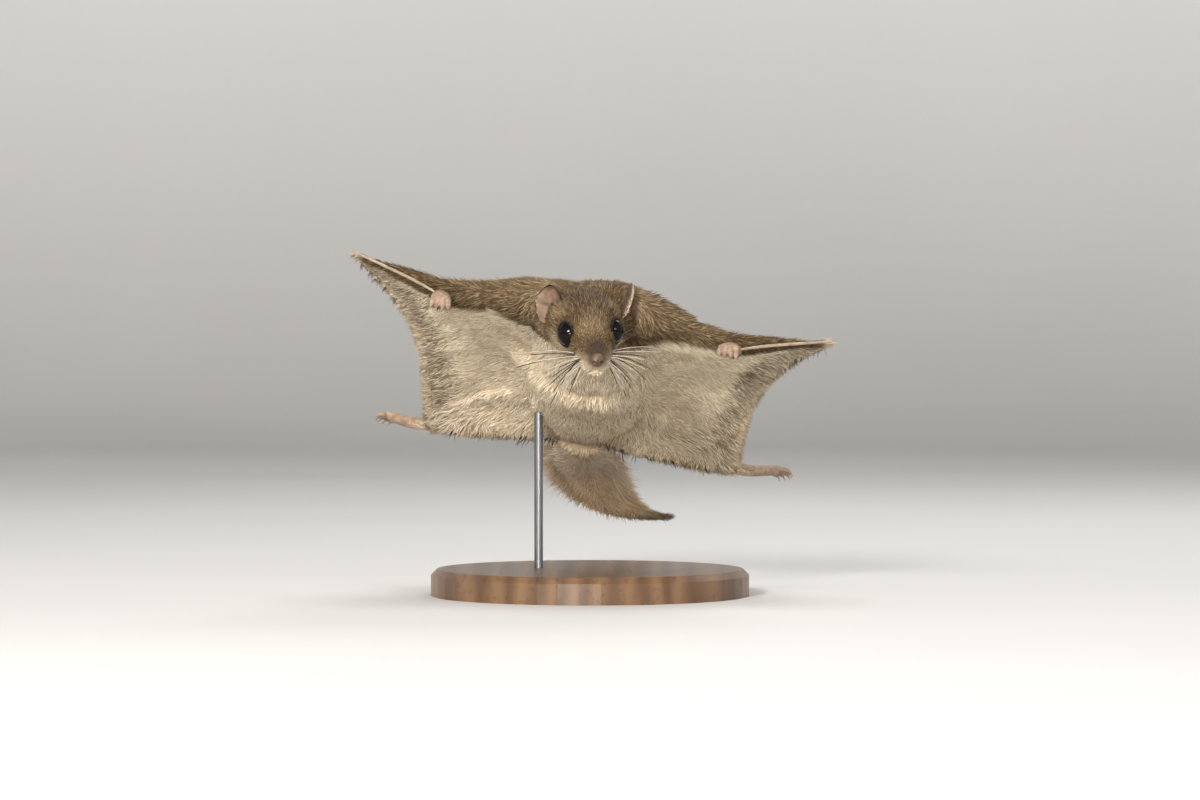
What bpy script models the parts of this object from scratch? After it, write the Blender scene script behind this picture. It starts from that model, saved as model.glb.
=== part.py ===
"""Southern flying squirrel in full glide: a still, life-size display model on a stand.

Lengths are in millimetres in the body frame (x across, y towards the tail, z towards
the back) and become metres when a mesh is made. Two empties carry the glide's attitude:
one for the body and one for the head.
"""
import bpy
import bmesh
import math
import random
from mathutils import Matrix, Vector

MM = 0.001
GAP = 0.3

# attitude of the glide
PITCH_DEG = 28.0
ROLL_DEG = 9.0
YAW_DEG = -3.0
TWIST_FRONT_DEG = 1.9
TWIST_REAR_DEG = -1.3
TWIST_FROM_Y = -15.0
TWIST_TO_Y = 95.0
HEAD_PITCH_DEG = 23.0
HEAD_ROLL_DEG = -3.5
HEAD_YAW_DEG = 8.0
HEAD_CENTRE = (-1.2, -24.9, -1.8)
SHOULDER_HEIGHT = 93.0
BODY_FORWARD = 48.0

# joints of the right-hand limbs, mirrored for the left
SHOULDER = (11.0, -1.0, 1.0)
ELBOW = (29.0, -7.0, -2.5)
WRIST = (48.5, -11.0, -5.0)
WING_TIP = (79.4, -15.0, 1.0)
HIP = (11.0, 63.0, 0.0)
KNEE = (33.0, 70.0, -1.5)
ANKLE = (53.0, 85.5, -4.0)
TOE_BASE = (67.5, 97.5, 2.8)
TAIL_ROOT = (0.0, 80.0, -3.5)
KNUCKLES = (49.6, -19.6, -9.8)

# tail
TAIL_LENGTH = 90.0
TAIL_ROOT_LENGTH = 14.0
TAIL_STEPS = 26
TAIL_CORE_HALF = 7.2
TAIL_SWING_DEG = 66.0
TAIL_SWING_POWER = 1.9
TAIL_LIFT_START_DEG = 4.0
TAIL_LIFT_END_DEG = 20.0
TAIL_HALF_WIDTH = 15.5

# membrane
MEMBRANE_BILLOW = 5.0
MEMBRANE_THICK = 2.6
MEMBRANE_EDGE_THICK = 1.0

# head, in its own frame
EYE_X = 6.2
EYE_Y = -8.8
EYE_Z = 1.8
EYE_RADIUS = 4.5
EYE_OUT_DEG = 59.0
EYE_UP_DEG = 8.0
LID_OFFSET = 2.1
LID_RADIUS = 4.25
LID_TUBE = 0.75
NOSE_CENTRE = (0.0, -22.7, -1.8)
NOSE_RADII = (2.4, 2.3, 2.1)
NOSTRIL_X = 1.25
NOSTRIL_RADIUS = 0.5
EAR_LENGTH = 11.8
EAR_HALF_WIDTH = 4.8
EAR_ROOT = (11.8, 4.6, 1.4)
EAR_RISE = (0.14, 0.50, 0.85)
EAR_FACING_DEG = {-1: 48.0, 1: 80.0}

# coat: long hair as flat tapered locks
TAIL_LOCKS = 12
TAIL_LOCK_LENGTH = 18.5
TAIL_LOCK_WIDTH = 2.7
FRINGE_LOCKS_OUTER = 15
FRINGE_LOCKS_REAR = 7
FRINGE_LENGTH = 4.6
FRINGE_WIDTH = 2.1

# stand
BASE_RADIUS = 54.0
BASE_HEIGHT = 9.0
ROD_RADIUS = 1.5
ROD_X = -17.5
ROD_Y = 5.0
ROD_TOP = 62.0
ROD_SEAT = 5.0

FUR_BROWN = (0.20, 0.135, 0.075)
FUR_FACE = (0.24, 0.17, 0.10)
FUR_CREAM = (0.62, 0.54, 0.40)
FUR_TAIL = (0.27, 0.19, 0.11)
SKIN_PINK = (0.45, 0.26, 0.19)
EYE_BLACK = (0.012, 0.009, 0.008)
WOOD = (0.16, 0.075, 0.035)
STEEL = (0.55, 0.56, 0.57)


def clear_scene():
    for obj in list(bpy.data.objects):
        bpy.data.objects.remove(obj, do_unlink=True)


def material(name, colour, roughness, metallic=0.0):
    mat = bpy.data.materials.get(name)
    if mat is None:
        mat = bpy.data.materials.new(name)
        mat.use_nodes = True
        shader = mat.node_tree.nodes["Principled BSDF"]
        shader.inputs["Base Color"].default_value = (*colour, 1.0)
        shader.inputs["Roughness"].default_value = roughness
        shader.inputs["Metallic"].default_value = metallic
        mat.diffuse_color = (*colour, 1.0)
    return mat


def empty(name, location, angles_deg):
    obj = bpy.data.objects.new(name, None)
    obj.location = [c * MM for c in location]
    obj.rotation_euler = [math.radians(a) for a in angles_deg]
    bpy.context.collection.objects.link(obj)
    return obj


def solid(name, shape, parent=None, mat=None):
    """One object from (points in mm, faces), its faces turned outwards."""
    points, faces = shape
    mesh = bpy.data.meshes.new(name)
    mesh.from_pydata([[c * MM for c in p] for p in points], [], faces)
    bm = bmesh.new()
    bm.from_mesh(mesh)
    bmesh.ops.recalc_face_normals(bm, faces=bm.faces)
    bmesh.ops.triangulate(bm, faces=[f for f in bm.faces if len(f.verts) > 4])
    bm.to_mesh(mesh)
    bm.free()
    obj = bpy.data.objects.new(name, mesh)
    bpy.context.collection.objects.link(obj)
    obj.parent = parent
    if mat is not None:
        mesh.materials.append(mat)
    return obj


def keep_largest(mesh):
    """Keep the closed surface with the largest volume."""
    bm = bmesh.new()
    bm.from_mesh(mesh)
    bmesh.ops.triangulate(bm, faces=bm.faces)
    left = set(bm.faces)
    best, best_volume = None, -1.0
    while left:
        seed = left.pop()
        island, stack = {seed}, [seed]
        while stack:
            for edge in stack.pop().edges:
                for face in edge.link_faces:
                    if face in left:
                        left.remove(face)
                        island.add(face)
                        stack.append(face)
        volume = 0.0
        for face in island:
            a, b, c = (v.co for v in face.verts)
            volume += a.dot(b.cross(c)) / 6.0
        if abs(volume) > best_volume:
            best, best_volume = island, abs(volume)
    bmesh.ops.delete(bm, geom=[f for f in bm.faces if f not in best], context="FACES")
    loose = [v for v in bm.verts if not v.link_faces]
    bmesh.ops.delete(bm, geom=loose, context="VERTS")
    bm.to_mesh(mesh)
    bm.free()


def settle(obj):
    """Apply the object's modifiers and keep its one closed surface."""
    bpy.context.view_layer.update()
    graph = bpy.context.evaluated_depsgraph_get()
    mesh = bpy.data.meshes.new_from_object(obj.evaluated_get(graph))
    obj.modifiers.clear()
    old = obj.data
    obj.data = mesh
    keep_largest(mesh)
    mesh.name = obj.name
    bpy.data.meshes.remove(old)


def remove(objects):
    for obj in objects:
        bpy.data.objects.remove(obj, do_unlink=True)


def cut(obj, cutters):
    """Subtract each cutter; the cutters stay for other pieces."""
    for cutter in cutters:
        mod = obj.modifiers.new("cut", "BOOLEAN")
        mod.operation = "DIFFERENCE"
        mod.solver = "EXACT"
        mod.object = cutter
    settle(obj)


def fuse(obj, pieces):
    """Join a collection of closed pieces to the object by one union."""
    group = bpy.data.collections.new("pieces")
    bpy.context.scene.collection.children.link(group)
    for piece in pieces:
        for other in list(piece.users_collection):
            other.objects.unlink(piece)
        group.objects.link(piece)
    mod = obj.modifiers.new("fuse", "BOOLEAN")
    mod.operation = "UNION"
    mod.operand_type = "COLLECTION"
    mod.solver = "EXACT"
    mod.collection = group
    settle(obj)
    remove(pieces)
    bpy.data.collections.remove(group)


def mirror(point, side):
    return (point[0] * side, point[1], point[2])


def blend(a, b, t):
    return tuple(p + (q - p) * t for p, q in zip(a, b))


def twist(point):
    """The body is wrung a little: the shoulders roll more than the hips."""
    x, y, z = point
    t = (y - TWIST_FROM_Y) / (TWIST_TO_Y - TWIST_FROM_Y)
    t = max(0.0, min(1.0, t))
    angle = TWIST_FRONT_DEG + (TWIST_REAR_DEG - TWIST_FRONT_DEG) * t
    return (x, y, z - x * math.tan(math.radians(angle)))


def twisted(shape):
    return [twist(p) for p in shape[0]], shape[1]


def smooth_rows(rows, steps):
    """A smooth run through every row of numbers, with steps parts between rows."""
    out = []
    last = len(rows) - 1
    for i in range(last):
        p0, p1 = rows[max(i - 1, 0)], rows[i]
        p2, p3 = rows[i + 1], rows[min(i + 2, last)]
        for k in range(steps):
            t = k / steps
            row = []
            for a, b, c, d in zip(p0, p1, p2, p3):
                row.append(0.5 * (2 * b + (c - a) * t + (2 * a - 5 * b + 4 * c - d) * t ** 2
                                  + (3 * b - a - 3 * c + d) * t ** 3))
            out.append(tuple(row))
    out.append(tuple(rows[-1]))
    return out


def loft(rows, sides, up=(0, 0, 1), power=2.0, grow=0.0, dome=0.0):
    """A closed tube through rows of (x, y, z, half width, top, bottom).

    grow makes it larger all round and longer at both ends; dome raises the end caps.
    """
    rows = [list(r) for r in rows]
    centres = [Vector(r[:3]) for r in rows]
    if grow:
        first = (centres[0] - centres[1]).normalized() * grow
        final = (centres[-1] - centres[-2]).normalized() * grow
        centres[0] += first
        centres[-1] += final
    points, faces = [], []
    count = len(rows)
    ends = []
    for i, row in enumerate(rows):
        ahead = centres[min(i + 1, count - 1)] - centres[max(i - 1, 0)]
        ahead.normalize()
        side = ahead.cross(Vector(up)).normalized()
        rise = side.cross(ahead).normalized()
        if i in (0, count - 1):
            ends.append(ahead)
        for k in range(sides):
            angle = 2 * math.pi * (k + 0.5) / sides
            c, s = math.cos(angle), math.sin(angle)
            u = math.copysign(abs(c) ** (2 / power), c) * (row[3] + grow)
            v = math.copysign(abs(s) ** (2 / power), s)
            v *= (row[4] if s > 0 else row[5]) + grow
            points.append(tuple(centres[i] + side * u + rise * v))
    for i in range(count - 1):
        for k in range(sides):
            a = i * sides + k
            b = i * sides + (k + 1) % sides
            faces.append((a, b, b + sides, a + sides))
    for i, sign, ahead in ((0, -1, ends[0]), (count - 1, 1, ends[1])):
        points.append(tuple(centres[i] + ahead * (sign * dome)))
        hub = len(points) - 1
        for k in range(sides):
            faces.append((i * sides + k, i * sides + (k + 1) % sides, hub))
    return points, faces


def ellipsoid(centre, radii, rings, sides):
    rows = []
    for i in range(rings + 1):
        angle = math.pi * i / rings
        r = max(math.sin(angle), 0.04)
        y = -radii[1] * math.cos(angle)
        rows.append((centre[0], centre[1] + y, centre[2], radii[0] * r, radii[2] * r,
                     radii[2] * r))
    return loft(rows, sides)


def sphere(centre, radius, rings, sides):
    return ellipsoid(centre, (radius, radius, radius), rings, sides)


def ring(centre, axis, radius, tube, sides=20, tube_sides=8, flat=1.0):
    """A torus about an axis; flat squeezes it along one cross direction."""
    axis = Vector(axis).normalized()
    side = axis.cross(Vector((0, 0, 1))).normalized()
    rise = side.cross(axis)
    points, faces = [], []
    for i in range(sides):
        a = 2 * math.pi * i / sides
        out = side * math.cos(a) + rise * math.sin(a) * flat
        for k in range(tube_sides):
            b = 2 * math.pi * k / tube_sides
            r = radius + tube * math.cos(b)
            points.append(tuple(Vector(centre) + out * r + axis * (tube * math.sin(b))))
    for i in range(sides):
        for k in range(tube_sides):
            a = i * tube_sides + k
            b = i * tube_sides + (k + 1) % tube_sides
            c = ((i + 1) % sides) * tube_sides + (k + 1) % tube_sides
            d = ((i + 1) % sides) * tube_sides + k
            faces.append((a, b, c, d))
    return points, faces


def sheet(patch, across, along, thickness):
    """A closed curved plate: patch(u, v) gives its middle, thickness(u, v) its depth.

    Both faces are split into the same triangles.
    """
    points, faces = [], []
    normals = []
    step = 1e-3
    for j in range(along + 1):
        for i in range(across + 1):
            u, v = i / across, j / along
            du = Vector(patch(min(u + step, 1), v)) - Vector(patch(max(u - step, 0), v))
            dv = Vector(patch(u, min(v + step, 1))) - Vector(patch(u, max(v - step, 0)))
            normal = du.cross(dv)
            if normal.length < 1e-12:
                normal = Vector((0, 0, 1))
            normal.normalize()
            normals.append(normal)
            points.append(Vector(patch(u, v)) + normal * thickness(u, v) / 2)
    total = len(points)
    for k in range(total):
        i, j = k % (across + 1), k // (across + 1)
        u, v = i / across, j / along
        points.append(points[k] - normals[k] * thickness(u, v))
    wide = across + 1
    for j in range(along):
        for i in range(across):
            a = j * wide + i
            b, c, d = a + 1, a + 1 + wide, a + wide
            for one, two, three in ((a, b, c), (a, c, d)):
                faces.append((one, two, three))
                faces.append((one + total, three + total, two + total))
    rim = [i for i in range(across)]
    rim += [j * wide + across for j in range(along)]
    rim += [along * wide + i for i in range(across, 0, -1)]
    rim += [j * wide for j in range(along, 0, -1)]
    for k, a in enumerate(rim):
        b = rim[(k + 1) % len(rim)]
        faces.append((a, a + total, b + total))
        faces.append((a, b + total, b))
    return [tuple(p) for p in points], faces


def along_line(points, t):
    """A smooth position at t (0 to 1) along a short run of points."""
    fine = smooth_rows(points, 8)
    x = t * (len(fine) - 1)
    i = min(int(x), len(fine) - 2)
    return blend(fine[i], fine[i + 1], x - i)


def torso_rows():
    rows = [(0, -9, 2.0, 17.0, 9.0, 9.5), (0, -3, 1.0, 20.0, 11.6, 12.0),
            (0, 7, 0, 21.0, 14.2, 14.0), (0, 22, 0, 20.0, 15.0, 14.5),
            (0, 38, 0, 19.5, 14.5, 15.0), (0, 53, 0, 20.5, 14.0, 13.5),
            (0, 65, -0.5, 19.5, 12.0, 10.5), (0, 73, -2.0, 14.0, 9.0, 8.0),
            (0, 80, -3.5, 7.5, 5.8, 5.8)]
    return smooth_rows(rows, 2)


def upper_arm_rows(side):
    rows = [(*SHOULDER, 10.5, 10.0, 8.5), (19.0, -4.0, -0.2, 10.0, 9.8, 7.2),
            (*ELBOW, 8.8, 7.6, 5.2)]
    return [(r[0] * side, *r[1:]) for r in smooth_rows(rows, 3)]


def forearm_rows(side):
    rows = [(*ELBOW, 8.8, 7.6, 5.2), (38.0, -9.5, -4.4, 8.2, 5.6, 4.4),
            (*WRIST, 7.4, 3.8, 3.6)]
    return [(r[0] * side, *r[1:]) for r in smooth_rows(rows, 3)]


def wing_tip_rows(side):
    rows = [(*WRIST, 7.4, 3.8, 3.6), (58.0, -12.6, -3.6, 5.6, 3.2, 2.2),
            (69.0, -14.0, -1.4, 3.2, 2.0, 1.2), (*WING_TIP, 0.8, 0.5, 0.5)]
    return [(r[0] * side, *r[1:]) for r in smooth_rows(rows, 3)]


def thigh_rows(side):
    rows = [(*HIP, 11.5, 8.5, 8.5), (22.0, 66.5, -0.5, 9.8, 6.5, 6.5),
            (*KNEE, 7.6, 4.8, 4.8)]
    return [(r[0] * side, *r[1:]) for r in smooth_rows(rows, 3)]


def shin_rows(side):
    rows = [(*KNEE, 7.6, 4.8, 4.8), (43.0, 77.5, -3.0, 5.6, 3.6, 3.6),
            (*ANKLE, 3.4, 2.6, 2.6)]
    return [(r[0] * side, *r[1:]) for r in smooth_rows(rows, 3)]


def foot_rows(side):
    rows = [(*ANKLE, 2.5, 2.1, 2.1), (59.0, 90.5, -1.8, 2.3, 1.7, 1.8),
            (*TOE_BASE, 3.1, 1.4, 1.4)]
    return [(r[0] * side, *r[1:]) for r in smooth_rows(rows, 3)]


def hand_rows(side):
    rows = [(48.6, -10.0, -5.0, 2.6, 1.8, 1.8), (49.0, -16.0, -8.2, 2.9, 1.7, 1.7),
            (*KNUCKLES, 3.4, 1.5, 1.4)]
    return [(r[0] * side, *r[1:]) for r in smooth_rows(rows, 3)]


def digit(root, ahead, bend, length, radius, claw, sides=5):
    """A finger or toe that curves by bend along its length and ends in a claw."""
    position, ahead, bend = Vector(root), Vector(ahead).normalized(), Vector(bend)
    rows = []
    parts = 3
    for i in range(parts + 1):
        t = i / parts
        r = radius * (1.0 - 0.25 * t + 0.16 * math.sin(2 * math.pi * t))
        rows.append((*position, r, r, r))
        position = position + (ahead + bend * t).normalized() * (length / parts)
    hook = (ahead + bend * 1.9).normalized()
    tip = Vector(rows[-1][:3]) + (ahead + bend * 1.2).normalized() * (claw * 0.35)
    rows.append((*tip, radius * 0.45, radius * 0.45, radius * 0.45))
    end = tip + hook * (claw * 0.65)
    rows.append((*end, 0.08, 0.08, 0.08))
    return loft(rows, sides)


def lock(root, ahead, normal, sweep, length, width, thick, rows_count=4):
    """A flat pointed lock of hair that bends by sweep towards its tip."""
    position, ahead, sweep = Vector(root), Vector(ahead).normalized(), Vector(sweep)
    rows = []
    for i in range(rows_count):
        t = i / (rows_count - 1)
        w = width * (1.0 - t ** 2.4) + 0.12
        h = thick * (1.0 - 0.8 * t) * 0.5 + 0.04
        rows.append((*position, w, h, h))
        position = position + (ahead + sweep * t).normalized() * (length / (rows_count - 1))
    return loft(rows, 4, up=tuple(normal))


def front_line(t):
    return along_line([(12.0, -2.0, 1.5), ELBOW, WRIST, WING_TIP], t)


def outer_line(t):
    return along_line([WING_TIP, (66.5, 8.0, 1.0), (57.8, 36.0, 0.0), (54.6, 64.0, -3.0),
                       (ANKLE[0], ANKLE[1] - 1.0, ANKLE[2])], t)


def leg_line(t):
    return along_line([(12.0, 63.0, 0.0), KNEE, ANKLE], t)


def inner_line(t):
    return along_line([(12.0, -2.0, 1.5), (12.0, 30.0, 2.0), (12.0, 63.0, 0.0)], t)


def patagium_patch(side):
    """Main glide membrane: between arm, leg and outer edge, billowed upwards."""
    corners = (front_line(0), front_line(1), leg_line(0), leg_line(1))

    def patch(u, v):
        front, rear = front_line(u), leg_line(u)
        inner, outer = inner_line(v), outer_line(v)
        out = []
        for k in range(3):
            ruled = front[k] * (1 - v) + rear[k] * v + inner[k] * (1 - u) + outer[k] * u
            flat = ((corners[0][k] * (1 - u) + corners[1][k] * u) * (1 - v)
                    + (corners[2][k] * (1 - u) + corners[3][k] * u) * v)
            out.append(ruled - flat)
        out[2] += MEMBRANE_BILLOW * math.sin(math.pi * u) * math.sin(math.pi * v) ** 0.7
        return (out[0] * side, out[1], out[2])
    return patch


def patagium_thickness(u, v):
    ease = max(0.0, (u - 0.55) / 0.45)
    return MEMBRANE_THICK + (MEMBRANE_EDGE_THICK - MEMBRANE_THICK) * ease ** 1.5


def rear_patch(side):
    """Narrow membrane behind the leg, out to the fringe beside the tail."""
    edge = [(6.0, 80.5, -4.0), (24.0, 81.5, -5.0), (38.0, 84.0, -5.0),
            (ANKLE[0] - 1.0, ANKLE[1] + 1.5, ANKLE[2])]

    def patch(u, v):
        front = along_line([(8.0, 66.0, -2.0), KNEE, ANKLE], u)
        rear = along_line(edge, u)
        x, y, z = blend(front, rear, v)
        return (x * side, y, z)
    return patch


def rear_thickness(u, v):
    return 3.4 + (MEMBRANE_EDGE_THICK - 3.4) * v


def tail_path(steps):
    """Tail positions: straight out of the rump, then swung aside and lifted."""
    position = Vector(TAIL_ROOT)
    path = [tuple(position)]
    for i in range(steps):
        t = (i + 0.5) / steps
        swing = math.radians(TAIL_SWING_DEG) * t ** TAIL_SWING_POWER
        lift = math.radians(TAIL_LIFT_START_DEG
                            + (TAIL_LIFT_END_DEG - TAIL_LIFT_START_DEG) * t ** 4)
        ahead = Vector((math.sin(swing) * math.cos(lift),
                        math.cos(swing) * math.cos(lift), math.sin(lift)))
        position = position + ahead * (TAIL_LENGTH / steps)
        path.append(tuple(position))
    return path


def tail_half_width(t):
    """Half width of the flat tail: broad from near the root, with a rounded tip."""
    swell = min(1.0, 0.60 + 2.0 * t)
    close = math.sqrt(max(0.0, 1.0 - max(0.0, (t - 0.52) / 0.5) ** 2))
    return TAIL_HALF_WIDTH * swell * close + 0.6


def tail_core_rows(path):
    """The fleshy core under the long hair, wide only next to the rump."""
    rows = []
    for i, p in enumerate(path):
        t = i / (len(path) - 1)
        ease = min(1.0, t / 0.32)
        wide = tail_half_width(t) * (1 - ease) + TAIL_CORE_HALF * ease
        wide *= 1.0 - 0.85 * max(0.0, (t - 0.45) / 0.55) ** 1.3
        thick = 5.6 * (1 - ease) + 2.6 * ease
        thick *= 1.0 - 0.7 * max(0.0, (t - 0.5) / 0.5)
        rows.append((*p, wide, thick, thick))
    return rows


def tail_locks(path):
    """Hair combed out to both sides in two layers, and a fan at the tip."""
    rng = random.Random(5)
    shapes = []
    count = len(path) - 1
    core = tail_core_rows(path)
    start = TAIL_ROOT_LENGTH / TAIL_LENGTH + 0.05
    for layer in (-1, 1):
        for k in range(TAIL_LOCKS):
            t = start + (0.93 - start) * (k + 0.25 + 0.25 * layer) / TAIL_LOCKS
            i = min(int(t * count), count - 1)
            here = Vector(path[i]).lerp(Vector(path[i + 1]), t * count - i)
            ahead = (Vector(path[i + 1]) - Vector(path[i])).normalized()
            side = ahead.cross(Vector((0, 0, 1))).normalized()
            rise = side.cross(ahead).normalized()
            reach = tail_half_width(min(1.0, t + 0.12))
            for hand in (-1, 1):
                out = side * hand
                spread = 0.95 * (1 - 0.55 * t) + rng.uniform(-0.06, 0.06)
                root = here + out * core[i][3] * 0.62 + rise * layer * core[i][4] * 0.32
                length = TAIL_LOCK_LENGTH * min(1.0, 0.25 + 0.85 * reach / TAIL_HALF_WIDTH)
                length *= rng.uniform(0.92, 1.04)
                direction = ahead + out * spread + rise * 0.05 * layer
                shapes.append(lock(root, direction, rise, ahead * 0.5 - rise * 0.05 * layer,
                                   length, TAIL_LOCK_WIDTH, 1.5))
    end = Vector(path[-1])
    ahead = (end - Vector(path[-3])).normalized()
    side = ahead.cross(Vector((0, 0, 1))).normalized()
    rise = side.cross(ahead).normalized()
    for k in range(5):
        a = (k - 2) / 2
        root = Vector(path[-4]) + side * a * 1.2
        direction = ahead + side * a * 0.42
        shapes.append(lock(root, direction, rise, ahead * 0.3, 12.0 - 2.0 * abs(a), 2.1, 1.3))
    return shapes


def fringe_locks(side):
    """Short hair that stands out past the membrane's outer edge."""
    rng = random.Random(11 + side)
    patch = patagium_patch(side)
    shapes = []
    for k in range(FRINGE_LOCKS_OUTER):
        v = (k + 0.7 + rng.uniform(-0.15, 0.15)) / (FRINGE_LOCKS_OUTER + 0.4)
        inner, edge = Vector(patch(0.965, v)), Vector(patch(0.995, v))
        out = (edge - inner).normalized()
        back = (Vector(patch(0.98, min(1, v + 0.02))) - Vector(patch(0.98, v))).normalized()
        normal = out.cross(back).normalized()
        direction = out + back * 0.55
        shapes.append(lock(inner, direction, normal, back * 0.35,
                           FRINGE_LENGTH * rng.uniform(0.85, 1.1), FRINGE_WIDTH, 0.75, 3))
    return shapes


def rear_fringe_locks(side):
    rng = random.Random(23 + side)
    patch = rear_patch(side)
    shapes = []
    for k in range(FRINGE_LOCKS_REAR):
        u = 0.16 + 0.80 * (k + 0.5 + rng.uniform(-0.15, 0.15)) / FRINGE_LOCKS_REAR
        inner, edge = Vector(patch(u, 0.86)), Vector(patch(u, 0.99))
        out = (edge - inner).normalized()
        across = (Vector(patch(u + 0.02, 0.9)) - Vector(patch(u, 0.9))).normalized()
        normal = out.cross(across).normalized()
        shapes.append(lock(inner, out + across * 0.1, normal, (0, 0, -0.1),
                           FRINGE_LENGTH * rng.uniform(0.9, 1.15), FRINGE_WIDTH, 0.75, 3))
    return shapes


def head_rows():
    rows = [(0, 13.0, 0.5, 9.4, 8.0, 8.0), (0, 8.0, 0.2, 12.2, 10.2, 10.0),
            (0, 2.5, 0, 13.0, 10.8, 10.8), (0, -3.0, 0, 12.0, 10.5, 10.8),
            (0, -7.5, 0, 10.2, 9.4, 10.2), (0, -12.0, -0.2, 8.5, 7.6, 9.2),
            (0, -16.0, -0.8, 7.0, 5.4, 7.8), (0, -19.5, -1.4, 5.8, 3.4, 6.0),
            (0, -22.0, -2.0, 4.0, 2.0, 3.8), (0, -23.0, -2.4, 2.6, 1.2, 2.2)]
    return smooth_rows(rows, 2)


def mouth_line():
    """A thin groove round the muzzle, corner to corner under the nose."""
    rows = [r for r in head_rows() if -22.6 <= r[1] <= -13.5]
    half = []
    for r in rows:
        s = 0.70
        x = r[3] * (1.0 - s ** 2.15) ** (1 / 2.15)
        half.append((x, r[1], r[2] - r[5] * s))
    front = (0.0, -22.8, -4.0)
    points = half + [front] + [(-x, y, z) for x, y, z in reversed(half)]
    return loft([(*p, 0.4, 0.28, 0.28) for p in points], 4)


def eye_axis(side):
    out, up = math.radians(EYE_OUT_DEG), math.radians(EYE_UP_DEG)
    return Vector((side * math.sin(out) * math.cos(up), -math.cos(out) * math.cos(up),
                   math.sin(up)))


def ear_shape(side):
    """A cupped pinna: a rounded leaf rolled about its long axis."""
    base = Vector(mirror(EAR_ROOT, side))
    rise = Vector(mirror(EAR_RISE, side)).normalized()
    facing = math.radians(EAR_FACING_DEG[side])
    front = Vector((side * math.sin(facing), -math.cos(facing), 0.0))
    across = rise.cross(front).normalized()
    front = across.cross(rise).normalized()

    def patch(u, v):
        a = u * 2.0 - 1.0
        width = EAR_HALF_WIDTH * math.sqrt(max(0.02, 1.0 - ((v - 0.48) / 0.545) ** 2))
        roll = math.radians(88.0 - 44.0 * v)
        sideways = width * math.sin(a * roll) / math.sin(roll)
        deep = width * (1.0 - math.cos(a * roll)) / math.sin(roll) * 0.8
        height = EAR_LENGTH * v * (1.0 - 0.05 * a * a) - 2.5
        return tuple(base + rise * height + across * sideways + front * (deep - 1.5))
    return patch


def ear_thickness(u, v):
    return 1.3 - 0.6 * v


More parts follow.
